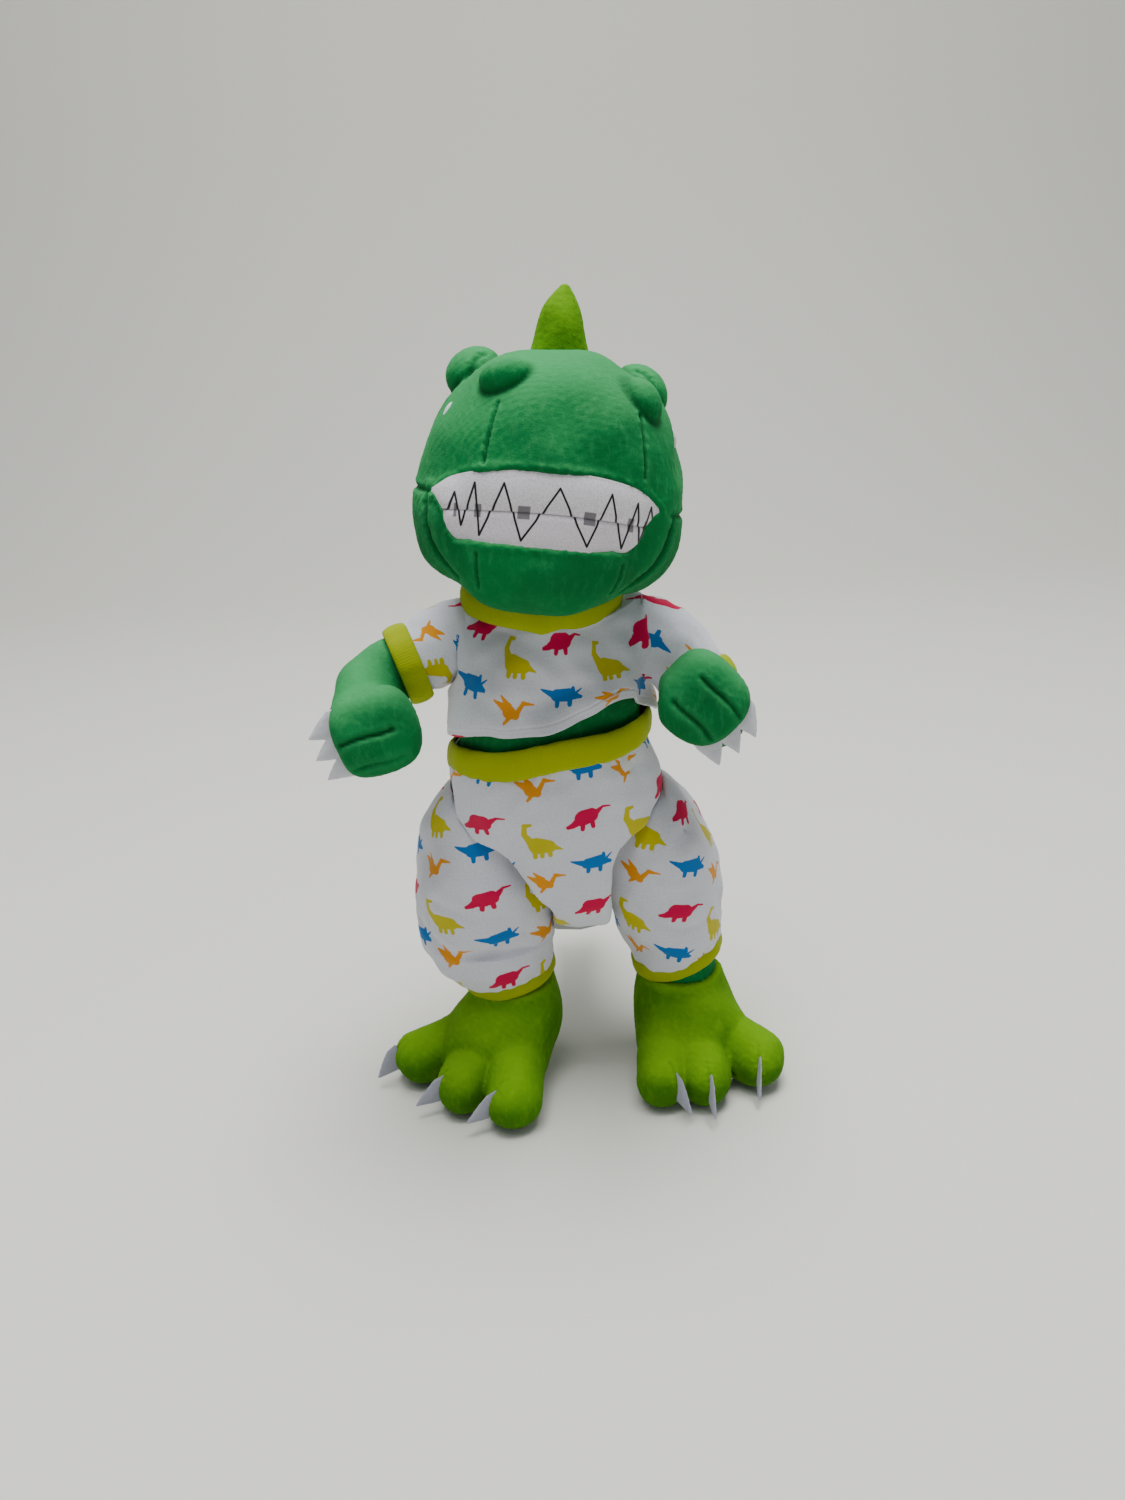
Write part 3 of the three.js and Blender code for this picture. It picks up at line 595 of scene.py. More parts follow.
def plain_cloth(name, colour):
    """Finely woven cloth with nothing on it."""
    def build(nodes):
        weave = nodes.noise(nodes.on_object(), 700, 2)
        return nodes.tinted(colour, rgb(190, 190, 190), weave, 0.3), nodes.bump(weave, 0.3, 0.0003)
    return finished(name, colour, 0.8, build=build)


BAR = capsule_group()
GREEN = plush("green_plush", rgb(0, 82, 36), rgb(6, 124, 60), rgb(76, 172, 106))
LIME = plush("lime_plush", rgb(38, 88, 0), rgb(66, 126, 0), rgb(136, 190, 16))
RIB = ribbed("lime_rib", rgb(160, 174, 0), rgb(126, 138, 0))
WHITE_FELT = felted("white_felt", rgb(226, 226, 232), rgb(196, 196, 206))
GREY_FELT = felted("grey_felt", rgb(176, 178, 190), rgb(146, 148, 162))
EYE_FELT = felted("eye_felt", rgb(230, 230, 236), rgb(205, 205, 212), rgb(12, 12, 14))
SATIN = plain_cloth("label_satin", rgb(200, 200, 200))
PAPER = finished("floor", rgb(222, 221, 214), 0.9)


# ---- the head, in its own frame: centred on the skull and turned as a whole ---------------------

HEAD_CENTRE = vec(4, -22, 312)
HEAD_ROTATION = turned((-6, 8, 6))  # nose up, right cheek up, nose a little to the left
GUSSET = 29.5  # half width of the panel over the snout and crown
HEAD_TOP = 51  # half the skull's height
MOUTH_MIDDLE = -5.5
MOUTH_HALF = 44.5
BROW_HALF = vec(13, 16, 11.5)
NOSTRIL = {1: vec(29.0, -39.0, 30.6), -1: vec(-25, -39.8, 34.6)}
NOSTRIL_TURN = {1: turned((-20, 58, 0)), -1: turned((-25, -14, 14))}
NOSTRIL_HALF = vec(11.2, 10, 8)
# (distance from the mouth's middle, height)
UPPER_LIP = [(0, 0.3), (14, 0.0), (24, -1.2), (33, -3.2), (40, -6.2), (44.5, -9.6)]
LOWER_LIP = [(0, -27.2), (26, -27.2), (34, -26.4), (37.5, -22), (39.5, -16.5), (42, -12.6),
             (44.5, -10.4)]


TUFT = 2.6  # millimetres from one tuft of the pile to the next


def to_head(points):
    """Points of the toy's frame, in the head's own."""
    return (points - HEAD_CENTRE) @ HEAD_ROTATION


def from_head(points):
    """Points of the head's own frame, in the toy's."""
    return points @ HEAD_ROTATION.T + HEAD_CENTRE


def lips(x):
    """The heights of the upper and the lower lip, which is fuller on the toy's right."""
    from_middle = np.abs(x - MOUTH_MIDDLE)
    fuller = np.where(x < MOUTH_MIDDLE, MOUTH_HALF * (from_middle / MOUTH_HALF) ** 1.3, from_middle)
    upper = through(*np.array(UPPER_LIP).T, from_middle)
    lower = through(*np.array(LOWER_LIP).T, fuller)
    return upper, lower


def plain_skull(p):
    """The head without its brows, nostrils and mouth."""
    above = np.clip(p[..., 2] / HEAD_TOP, 0, 1)
    below = np.clip(-p[..., 2] / HEAD_TOP, 0, 1)
    width = 1 - 0.16 * above - 0.06 * below * below
    narrowed = p / np.stack([width, np.ones_like(width), np.ones_like(width)], axis=-1)
    field = rounded(narrowed, vec(56, 60, HEAD_TOP), 2.5)
    chin = rounded(p - vec(-4, -33, -34), vec(39, 27, 23), 2.1)
    field = smooth_min(field, chin, 9)
    for side in SIDES.values():
        cheek = rounded(p - vec(side * 38 - 1.5, -20, -20), vec(18.5, 26, 26))
        field = smooth_min(field, cheek, 8)
    return field


def lobes(p):
    """The two brows and the two nostrils."""
    for side in SIDES.values():
        yield rounded((p - vec(side * 35, -1, 37.5)) @ turned((10, side * 28, 0)), BROW_HALF)
        yield rounded((p - NOSTRIL[side]) @ NOSTRIL_TURN[side], NOSTRIL_HALF)


def skull(p):
    """The head without its mouth."""
    field = plain_skull(p)
    for lobe in lobes(p):
        field = smooth_min(field, lobe, 1.4)
    return field


def around_lobes(p):
    """1 where a brow or nostril meets the head, fading out beside that line."""
    field = plain_skull(p)
    join = np.zeros(field.shape)
    for lobe in lobes(p):
        join = np.maximum(join, np.exp(-((field - lobe) / 1.6) ** 2) * (np.abs(lobe) < 4))
        field = np.minimum(field, lobe)
    return join


def outside_mouth(p):
    """Distance from the edge of the teeth band, negative within it; far away behind the face."""
    upper, lower = lips(p[..., 0])
    distance = np.maximum(p[..., 2] - upper, lower - p[..., 2])
    distance = np.maximum(distance, np.abs(p[..., 0] - MOUTH_MIDDLE) - MOUTH_HALF)
    return np.where(p[..., 1] < -5, distance, 50)


def on_skull(directions):
    """Points of the skull's surface, in its own frame, in the given directions from its middle."""
    directions = np.asarray(directions, float)
    directions = directions / np.linalg.norm(directions, axis=1, keepdims=True)
    return reach(skull, np.zeros_like(directions), directions, 95, samples=96)


def head_seams():
    """The seams and creases of the head: (path in the head's frame, depth, width)."""
    seams = []
    share = np.linspace(0, 1, 14)
    for side in SIDES.values():
        edge = MOUTH_MIDDLE + side * MOUTH_HALF
        chin = 31 if side < 0 else 25
        snout = [(side * (GUSSET + 1.5 * t), -52, 27 - 25 * t) for t in share]
        below_lip = [(side * chin, -50, -31 - 16 * t) for t in share]
        cheek = [(edge + side * t * 9, -36 + t * 34, -10 + t * 2) for t in share]
        jaw = [(edge - side * t * t * 12, -34 - t * 4, -12 - t * 30) for t in share]
        brow = [(side * (39 - t * 4), -18 + t * 6, 34 + t * 16) for t in share]
        back = [(side * GUSSET * 0.9, 12 + t * 40, 44 - t * 84) for t in share]
        for directions, depth, width in ((snout, 1.4, 0.75), (below_lip, 1.2, 0.75), (cheek, 1.3, 1.3),
                                         (jaw, 1.6, 1.6), (brow, 1.0, 1.2), (back, 0.9, 0.8)):
            seams.append((on_skull(directions), depth, width))
    return seams


def sunk_seams(points, seams, seed):
    """How far the pile moves at seams, and the crease value for painted shade (1) in their grooves and
    painted highlight (-1) on their shoulders.
    """
    amount = np.zeros(len(points))
    crease = np.zeros(len(points))
    tufts = ripple(points, TUFT, seed, 20) * 0.22
    for path, depth, width in seams:
        groove = near(points, path, width)
        shoulder = near(points, path, width * 2.6) - groove
        amount += shoulder * (0.25 * depth + tufts) - groove * depth
        # painted shade in the groove, painted highlight on the shoulders beside it
        crease += min(depth / 1.6, 1.0) * (groove - 0.8 * np.maximum(shoulder, 0))
    return amount, crease


def fur(name, points, quads, material, body, nodes, seams=(), seed=1, moved=0.0, shade=0.0):
    """A plush piece: its seams are sunk, the pile is ruffled along them and uneven all over; painted shade
    darkens the seams and wherever shade is given, and painted highlight lightens beside the seams.
    """
    amount = ripple(points, TUFT, seed, 20) * 0.05 + ripple(points, 26, seed + 1, 12) * 0.5 + moved
    at_seams, crease = sunk_seams(points, seams, seed + 2)
    points = pushed(points, quads, amount + at_seams)
    crease = np.clip(crease + shade, -1, 1)
    made = piece(name, points, quads, material, body, nodes, crease=crease)
    return made


def make_head():
    """The head's plush in one piece, sunk where the teeth band lies."""
    low, high = HEAD_CENTRE - vec(70, 74, 68), HEAD_CENTRE + vec(70, 70, 64)
    points, quads = surface(lambda places: skull(to_head(places)), low, high, 0.85)
    seams = [(from_head(path), depth, width) for path, depth, width in head_seams()]
    outside = outside_mouth(to_head(points))
    moved = -3.0 * smooth_step(0.8, -1.4, outside)
    moved += 0.6 * np.exp(-((outside - 2.2) / 1.5) ** 2)  # the lips' rolled edge
    moved += 0.16 * np.exp(-((outside - 1.5) / 2.0) ** 2) * ripple(points, 3.0, 8, 20)
    join = around_lobes(to_head(points))
    # Where brows and nostrils meet the head the pile sinks and gets painted shade.
    fur("head", points, quads, GREEN, "head",
        ["head_gusset", "chin_panel", "head_side_left", "head_side_right", "brow_left", "brow_right",
         "nostril_left", "nostril_right"], seams, seed=3, moved=moved - 0.5 * join,
        shade=0.8 * join)


def on_front(x, z, sunk):
    """Points of the skull's front at the given places, sunk below its surface."""
    centres = np.stack([x, np.zeros_like(x), z], axis=-1)
    ahead = np.broadcast_to(vec(0, -1, 0), centres.shape)
    return reach(lambda p: skull(p) + sunk, centres, ahead, 80, samples=64)


def make_teeth():
    """The fleece band between the lips, padded but drawn in along the brace's wire."""
    across, up = 150, 52
    x = MOUTH_MIDDLE + MOUTH_HALF * np.linspace(-1.0, 1.0, across)
    upper, lower = lips(x)
    share = np.linspace(-0.04, 1.04, up)[:, None]
    z = lower + (upper - lower) * share
    flat_x = np.broadcast_to(x, z.shape)
    opening = upper - lower
    bulge = 1.7 * np.clip(1 - np.abs(share * 2 - 1) ** 3, 0, 1) * np.clip(opening / 20, 0, 1)
    dent = 1.3 * np.exp(-((z - wire(flat_x)) / 1.3) ** 2) * np.clip(opening / 15, 0, 1)
    rows = on_front(flat_x, z, 1.2)
    rows[..., 1] -= bulge - dent
    points, quads = patch(from_head(rows))
    uv = reversed_uv(grid_uv(flat_x, z, False))
    teeth = piece("teeth", points, quads[:, ::-1], TEETH, "head", ["teeth_band"], uv)
    thickened(teeth, 1.4)


WIRE_HEIGHT = -14.8
WIRE_SAG = 2.0 / 38 ** 2  # it is 2 mm lower 38 mm from the mouth's middle
ZIGZAG = [(-44, -17), (-41.5, -10), (-38.5, -22), (-34, -5.6), (-31, -25.2), (-23.3, -4.8),
          (-15.5, -25.6), (-2.2, -4.9), (10.1, -25.8), (18.1, -5.5), (24.3, -25.5), (29, -8),
          (31.5, -23), (35, -9), (37, -16)]
THREAD = 0.42  # radius of the teeth's thread
BRACKETS = [(-41, 1.2), (-32.3, 2.6), (-15.2, 4.7), (10.3, 4.7), (27, 2.6), (33.5, 1.4)]  # (x, width)
BRACKET_HALF_HEIGHT = 2.7


def wire(x):
    """The height of the brace's wire, which sags towards both corners."""
    return WIRE_HEIGHT - WIRE_SAG * (x - MOUTH_MIDDLE) ** 2


def teeth_fleece():
    """White fleece with dark zigzag thread, and a brace's wire and squares in grey."""
    def build(nodes):
        given = nodes.on_cloth()
        place = nodes.vector("SCALE", given, scale=1 / UV_SCALE)
        parts = nodes.put("ShaderNodeSeparateXYZ", (), {0: place}).outputs
        fibres = nodes.noise(given, 160, 4, 0.7, 1.0)
        colour = nodes.mix(nodes.band(fibres, 0.35, 0.7), rgb(240, 236, 240), rgb(188, 184, 192))
        sag = nodes.math("SUBTRACT", parts["X"], MOUTH_MIDDLE)
        sag = nodes.math("MULTIPLY", nodes.math("MULTIPLY", sag, sag), -WIRE_SAG)
        from_wire = nodes.math("SUBTRACT", parts["Y"], nodes.math("ADD", sag, WIRE_HEIGHT))
        colour = nodes.tinted(colour, rgb(214, 202, 210), nodes.band(from_wire, 0.5, -1.5), 0.25)
        off_wire = nodes.math("ABSOLUTE", from_wire)
        colour = nodes.tinted(colour, rgb(96, 94, 100), nodes.band(off_wire, 0.9, 0.3), 0.85)
        for x, width in BRACKETS:
            aside = nodes.math("ABSOLUTE", nodes.math("SUBTRACT", parts["X"], x))
            aside = nodes.math("SUBTRACT", aside, width / 2)
            square = nodes.math("MAXIMUM", aside, nodes.math("SUBTRACT", off_wire, BRACKET_HALF_HEIGHT))
            grey = nodes.mix(fibres, rgb(64, 62, 68), rgb(128, 126, 132))
            colour = nodes.tinted(colour, grey, nodes.band(square, 0.15, -0.15), 0.9)
        bars = [(*start, *end, THREAD, THREAD) for start, end in zip(ZIGZAG[:-1], ZIGZAG[1:])]
        nearest = nodes.from_bars(place, bars)
        colour = nodes.mix(nodes.band(nearest, INK_EDGE, -INK_EDGE), colour, rgb(24, 22, 26))
        return colour, nodes.bump(fibres, 0.6, 0.0005)
    return finished("teeth_fleece", rgb(225, 222, 226), 0.95, sheen=0.3, build=build)


TEETH = teeth_fleece()


# (piece, node, path in the head's frame, radii, middle of its box, reach below and above, voxel, seed)
HEAD_SPIKES = [
    ("spike", "head_spike", [(0, 4, 40), (0, 4, 56), (0, 4, 69), (0, 4, 76.6)], [14, 10.6, 6.2, 2.9],
     vec(0, 4, 60), vec(24, 24, 26), vec(24, 24, 28), 0.9, 11),
    ("nape_tuft", "nape_spike", [(0, 38, 28), (0, 47, 37), (0, 54, 44)], [11, 7.5, 3],
     vec(0, 46, 36), vec(20, 24, 24), vec(20, 24, 24), 1.0, 12),
]


def make_head_spike(name, node, path, radii, middle, below, above, voxel, seed):
    """A lime spike on the head, cut off at the skull."""
    def field(points):
        p = to_head(points)
        return smooth_max(limb(p, path, radii, 2), -(skull(p) + 1.5), 1.0)
    centre = from_head(middle)
    points, quads = surface(field, centre - below, centre + above, voxel)
    fur(name, points, quads, LIME, "head", [node], seed=seed)


EYE_HALF = vec(2.4, 5.0, 6.2)
PUPIL = 2.5  # its radius
EYE = {"left": vec(46.2, -17, 19), "right": vec(-44.6, -24, 19.5)}


def make_eyes():
    """Almonds of white felt with a dark pupil, half hidden under the brows."""
    for side, sign in SIDES.items():
        middle = EYE[side]
        tilt = turned((0, sign * -16, sign * 38))

        def field(points):
            return rounded((to_head(points) - middle) @ tilt, EYE_HALF)
        points, quads = surface(field, from_head(middle) - 9, from_head(middle) + 9, 0.5)
        local = (to_head(points) - middle) @ tilt
        pupil = smooth_step(PUPIL + 0.2, PUPIL - 0.2, np.hypot(local[:, 1] + 1, local[:, 2] + 1))
        piece(f"eye_felt_{side}", points, quads, EYE_FELT, "head", [f"eye_{side}"], crease=pupil)


# ---- the body and the trousers -------------------------------------------------------------------

# Rows of (height, x, y, half width, half depth).
TORSO = [(80, 8, 1, 8, 8), (84, 8, 1, 26, 23.5), (104, 6, 0, 40, 36.5), (134, 2, 0, 46, 42),
         (163, -1.5, 0, 47.5, 43.5), (182, -3, 0, 44.5, 41), (204, -2.4, 0, 44.5, 41),
         (226, -1.5, 0, 40, 37), (247, -0.5, 0.5, 31, 28.8), (262, 0, 1, 6, 6)]
TROUSERS = [(85, 8, 0, 7, 7), (90, 8, 0, 26, 24), (104, 6, 0, 41, 38), (134, 1, 0, 50, 44),
            (150, -2, 0, 56, 46), (160, -3.5, 0, 57, 46.5), (168, -3.5, 0, 54.5, 46),
            (178, -3, 0, 49.5, 44), (192, -3, 0, 46.5, 42.5), (210, -3, 0, 46, 42)]
LEG_ROWS = {
    "left": [(50, 59, -3, 17, 17), (56, 58, -3, 21, 21), (62, 57.5, -3, 23.5, 23.5), (70, 56, -1, 25.5, 27),
             (88, 53, 0, 29, 32), (105, 50.5, 0, 30.5, 34), (130, 47.5, 0, 27.5, 34), (148, 45, 0, 19.5, 26),
             (160, 42, 0, 13, 18), (168, 40, 0, 5, 6)],
    "right": [(44, -30, -4, 20, 20), (50, -31, -4, 22, 22), (56, -33, -4, 25.5, 25), (62, -35.5, -3, 30, 28),
              (74, -39, -1, 35, 33), (97, -40.5, 0, 36.5, 36), (114, -40, 0, 36, 36), (136, -40.5, 0, 30, 33),
              (158, -41, 0, 19, 20), (166, -43, 0, 9, 10)],
}
HIP_AXIS = (0.0, 112.0)  # y and z of the line about which the legs swing
HIP_FACE = {  # (distance from that line, x) of the face between the body and each thigh
    "left": [(0, 22), (36, 22), (44, 28), (46, 51), (400, 53)],
    "right": [(0, -6), (36, -6), (44, -31), (46, -52), (400, -54)],
}
SHANK_TOP = 80  # below this height a leg has the whole width to itself
CUFF = {"left": (57.5, -2.5, 63, -0.33), "right": (-31, -4, 57, -0.2)}  # x, y, z, tilt of a leg's cuff
CUFF_RADIUS = 22.5
CUFF_HEIGHT = 10.5
ANKLE = {"left": (59, -4), "right": (-29, -6)}
BAND_HALF_HEIGHT = 7.4
BAND_THICKNESS = 3.4
TROUSER_FOLDS = [
    ([(-22, -38, 168), (-14, -41, 150), (-11, -40, 128), (-9, -36, 104)], 1.2, 4),
    ([(26, -34, 172), (24, -36, 156), (18, -37, 138)], 1.4, 3),
    ([(36, -28, 176), (36, -26, 164), (31, -28, 150)], -1.6, 2.4),
    ([(-9, -38, 106), (0, -40, 120), (10, -41, 128)], -1.2, 3),
    ([(-9, -37, 98), (2, -38, 106), (16, -36, 110)], 1.0, 3),
    ([(-1, -46 + 0.3 * max(0, 150 - z), z) for z in range(170, 95, -5)], -0.3, 1.0),  # the middle seam
]


def past_hip_face(points, side):
    """Distance to the face between the body and a thigh, positive on the thigh's side."""
    sign = SIDES[side]
    profile = np.array(HIP_FACE[side], float) * (1, sign)
    turning = np.hypot(points[..., 1] - HIP_AXIS[0], points[..., 2] - HIP_AXIS[1])
    place = np.stack([turning, points[..., 0] * sign], axis=-1)
    distance = np.full(turning.shape, 1e9)
    for start, end in zip(profile[:-1], profile[1:]):
        distance = np.minimum(distance, segment(place, start, end)[0])
    return np.where(place[..., 1] > np.interp(turning, *profile.T), distance, -distance)


def band_height(points):
    """The height of the waistband's middle, which rides up in front and on the toy's left."""
    angle = np.arctan2(points[..., 0] + 3, -points[..., 1])
    return 183.5 + 6.0 * np.sin(angle) + 4.0 * np.cos(angle)


def make_torso():
    """The body's plush, which shows between the top and the trousers."""
    def field(points):
        form = smooth_max(column(points, TORSO), 150 - points[..., 2], 4)
        for side in SIDES:
            form = smooth_max(form, past_hip_face(points, side) + 3, 3)
        return smooth_max(form, points[..., 2] - 250, 4)
    points, quads = surface(field, vec(-56, -52, 145), vec(52, 52, 255), 1.5)
    fur("belly_fur", points, quads, GREEN, "torso", ["torso_skin"], seed=21)


def make_neck():
    """The soft neck between the head and the body, hidden by the collar at rest."""
    def field(points):
        form = rounded(points - vec(1, 0, 262), vec(29.6, 30, 28), 2.2)
        return smooth_max(form, 245 - points[..., 2], 3)
    points, quads = surface(field, vec(-36, -38, 240), vec(40, 38, 294), 1.5)
    fur("neck", points, quads, GREEN, "neck", ["neck_skin"], seed=22)


def slack(points, seed):
    """The uneven lie of the trousers' cloth."""
    return ripple(points, 34, seed, 12) * 0.7 + ripple(points, 13, seed + 1, 16) * 0.22


def make_trouser_body():
    """The trousers' seat and belly, cut away where the thighs swing."""
    def field(points):
        form = smooth_max(column(points, TROUSERS), points[..., 2] - band_height(points), 3)
        for side in SIDES:
            form = smooth_max(form, past_hip_face(points, side) + 0.3, 3)
        return form
    points, quads = surface(field, vec(-62, -54, 74), vec(60, 54, 206), 1.0)
    amount = slack(points, 31) + folds(points, TROUSER_FOLDS)
    angle = np.arctan2(points[:, 0] + 3, -points[:, 1])
    under_band = np.exp(-((band_height(points) - 9 - points[:, 2]) / 9) ** 2)
    amount += under_band * (0.3 * np.cos(angle * 34 + 2 * np.sin(angle * 5)) + 0.3)
    points = pushed(points, quads, amount)
    uv = around_uv(points, quads, 0, 0, 46)
    made = piece("trouser_seat", points, quads, TROUSER_PRINT, "torso", ["trouser_body"], uv)


def above_cuff(points, side):
    """Distance above the plane of a leg's cuff."""
    x, y, z, tilt = CUFF[side]
    return (points[..., 2] - z) * math.cos(tilt) + (points[..., 0] - x) * math.sin(tilt)


LEG_FOLDS = {  # (path, height, width); the last of each is the leg's stitched side seam
    "left": [([(78, -10, 96), (66, -26, 90), (50, -33, 92), (36, -26, 100)], -1.8, 3.5),
             ([(80, -6, 84), (68, -24, 78), (52, -29, 78), (36, -22, 84)], 1.4, 4),
             ([(32, -24, 124), (44, -33, 116), (58, -30, 114)], 1.2, 4),
             ([(60, -24, 140), (66, -22, 118), (70, -22, 92), (68, -20, 72)], -1.3, 1.0)],
    "right": [([(-76, -8, 92), (-62, -28, 84), (-42, -35, 82), (-20, -28, 90)], -2.0, 3.5),
              ([(-72, -6, 74), (-58, -26, 68), (-40, -30, 66), (-20, -24, 70)], 1.6, 4),
              ([(-24, -30, 112), (-38, -36, 118), (-54, -32, 124)], 1.2, 4),
              ([(-30, -33, 104), (-46, -36, 104), (-62, -28, 110)], -1.2, 3),
              ([(-58, -22, 140), (-66, -22, 118), (-68, -22, 94), (-62, -18, 70)], -1.3, 1.0)],
}


def make_trouser_leg(side):
    """A trouser leg: a full thigh beside the body, open below for the ankle."""
    x, y = ANKLE[side]

    def field(points):
        form = column(points, LEG_ROWS[side])
        beside = smooth_max(form, 0.3 - past_hip_face(points, side), 3)
        below = smooth_max(form, points[..., 2] - SHANK_TOP, 3)
        inner = (points[..., 0] - HIP_FACE[side][0][1]) * SIDES[side]
        below = smooth_max(below, 0.7 - inner, 3)
        form = smooth_min(beside, below, 2)
        form = smooth_max(form, 1.5 - above_cuff(points, side), 1.5)
        room = np.hypot(points[..., 0] - x, points[..., 1] - y) - 20.5
        room = smooth_max(room, above_cuff(points, side) - 16, 4)
        return smooth_max(form, -room, 1.5)
    rows = np.array(LEG_ROWS[side])
    low = vec((rows[:, 1] - rows[:, 3]).min(), -(rows[:, 4]).max(), rows[0, 0]) - 5
    high = vec((rows[:, 1] + rows[:, 3]).max(), rows[:, 4].max(), rows[-1, 0]) + 5
    points, quads = surface(field, low, high, 1.0)
    amount = slack(points, 41 if side == "left" else 45) + folds(points, LEG_FOLDS[side])
    angle = np.arctan2(points[:, 0] - x, -(points[:, 1] - y))
    gathered = np.exp(-(above_cuff(points, side) / 9) ** 2)
    amount += gathered * 0.25 * np.cos(angle * 15 + 2 * np.sin(angle * 3))
    # painted shade along the groove of the stitched side seam
    painted_seam_shade = near(points, spline(LEG_FOLDS[side][-1][0], 24), 0.8)
    points = pushed(points, quads, amount)
    uv = around_uv(points, quads, rows[4, 1], 0, 32)
    made = piece(f"trouser_tube_{side}", points, quads, LEG_PRINT[side], f"leg_{side}",
                 [f"trouser_leg_{side}"], uv, painted_seam_shade)


def band_form(points):
    """What the waistband lies on: the body in front, and the seat of the trousers behind."""
    seat = smooth_max(column(points, TROUSERS) - 0.6, 10 - points[..., 1], 8)
    return smooth_min(column(points, TORSO) - 3.4, seat, 3)


def band_section(count, half_height):
    """(across, out) of count places around the section of a doubled rib; out runs from -1 to 1."""
    for turn in np.linspace(0, 2 * math.pi, count, endpoint=False):
        across = np.sign(math.cos(turn)) * abs(math.cos(turn)) ** 0.7 * half_height
        yield across, math.sin(turn)


def make_waistband():
    """The rib waistband, which follows the body in front and the seat behind."""
    angles = np.linspace(0, 2 * math.pi, 260, endpoint=False)
    directions = np.stack([np.sin(angles), -np.cos(angles), np.zeros_like(angles)], axis=1)
    ruck = 0.22 * np.cos(angles * 17 + 2 * np.sin(angles * 3)) + 0.15 * np.cos(angles * 29 + 1)
    rows = []
    for across, out in band_section(18, BAND_HALF_HEIGHT):
        centres = np.zeros((len(angles), 3)) + (-3, 0, 0)
        centres[:, 2] = band_height(centres + directions * 40) + across + 0.8 * np.sin(angles * 5 + 1)
        found = reach(band_form, centres, directions, 80)
        edge = abs(across / BAND_HALF_HEIGHT)
        away = out * BAND_THICKNESS / 2 + 1.0 - 0.9 * edge ** 2 + ruck * (0.55 + 0.45 * edge)
        rows.append(found + directions * away[:, None])
    points, quads = facing_out(*tube(np.transpose(rows, (1, 0, 2)), closed=True))
    uv = around_uv(points, quads, -3, 0, 47)
    piece("waist_rib", points, quads, RIB, "torso", ["waistband"], uv)


def rib_ring(name, centre, turn, radius, height, body, node, thickness=3.0, drop=None, seed=0):
    """A short closed band of doubled rib around an axis: Z of its own frame."""
    around, along = 200, 18
    angles = np.linspace(0, 2 * math.pi, around, endpoint=False)
    wave = 0.15 * np.cos(angles * 9 + 2 * np.sin(angles * 2 + seed)) + 0.09 * np.cos(angles * 16 + seed)
    rows = []
    for across, out in band_section(along, height / 2):
        crown = 0.8 * (1 - (2 * across / height) ** 2)
        distance = radius + out * thickness / 2 + crown + wave
        lift = across + (drop(angles) if drop is not None else np.zeros(around))
        rows.append(np.stack([distance * np.sin(angles), -distance * np.cos(angles), lift], axis=1))
    rows = np.transpose(np.array(rows), (1, 0, 2)) @ turn.T + np.array(centre, float)
    points, quads = tube(rows, closed=True)
    step = 2 * math.pi / around
    u = np.repeat(np.stack([angles, angles, angles + step, angles + step], axis=-1), along, axis=0) * radius
    uv = np.stack([u, points[quads][..., 2]], axis=-1).reshape(-1, 2)
    points, faced = facing_out(points, quads)
    return piece(name, points, faced, RIB, body, [node], matched_uv(uv, quads, faced))


def make_trouser_cuff(side):
    x, y, z, tilt = CUFF[side]
    rib_ring(f"leg_rib_{side}", (x, y, z), turned((0, math.degrees(tilt), 0)), CUFF_RADIUS, CUFF_HEIGHT,
             f"leg_{side}", f"trouser_cuff_{side}", seed=2)


# ---- the top -------------------------------------------------------------------------------------

SHIRT = [(180, -4, 0, 50, 45), (200, -4, 0, 50.5, 46), (215, -3, 0, 49, 45), (228, -2, 0, 46, 42),
         (238, -1, 0, 43, 39.5), (248, 0, 0, 37, 35.5), (258, 0, 0, 33, 32)]
# (degrees to the toy's left, height)
HEM = [(-180, 190), (-120, 189), (-90, 189.5), (-65, 195), (-45, 198), (-20, 199), (0, 201.5),
       (18, 206), (35, 211.5), (50, 211), (70, 203), (90, 195.5), (120, 191), (180, 190)]
COLLAR_CENTRE = vec(-3, -1, 254)
COLLAR_TURN = turned((2, 4, 0))
COLLAR_RADIUS = 36.3
COLLAR_HEIGHT = 12
SHIRT_MIDDLE = vec(-1, -1, 222)
SHIRT_FOLDS = [
    ([(-38, -27, 252), (-37, -38, 238), (-39, -42, 229), (-45, -40, 221)], -3.4, 2.2),
    ([(-43, -22, 250), (-43, -34, 240), (-44, -36, 230)], 1.6, 3.0),
    ([(-31, -31, 250), (-33, -38, 240), (-31, -42, 232)], 1.2, 3.0),
    ([(-26, -43, 226), (-8, -46, 234), (12, -46, 236), (28, -42, 230)], -1.4, 4),
    ([(36, -26, 244), (40, -30, 230), (40, -30, 216)], -2.2, 3.0),
    ([(28, -30, 246), (33, -35, 230), (34, -36, 216)], 1.4, 3.5),
    ([(-20, -40, 236), (0, -44, 228), (20, -42, 226)], 1.3, 6),
    ([(-30, -38, 212), (-6, -46, 214), (14, -46, 222)], -1.1, 5),
]


def shirt_form(points):
    """The top's outside: a body with the beginning of each sleeve."""
    form = column(points, SHIRT)
    for side in SIDES.values():
        distance, _ = segment(points, vec(side * 20, -2, 236), vec(side * 46, -3, 235))
        form = smooth_min(form, distance - 18.5, 12)
    return form


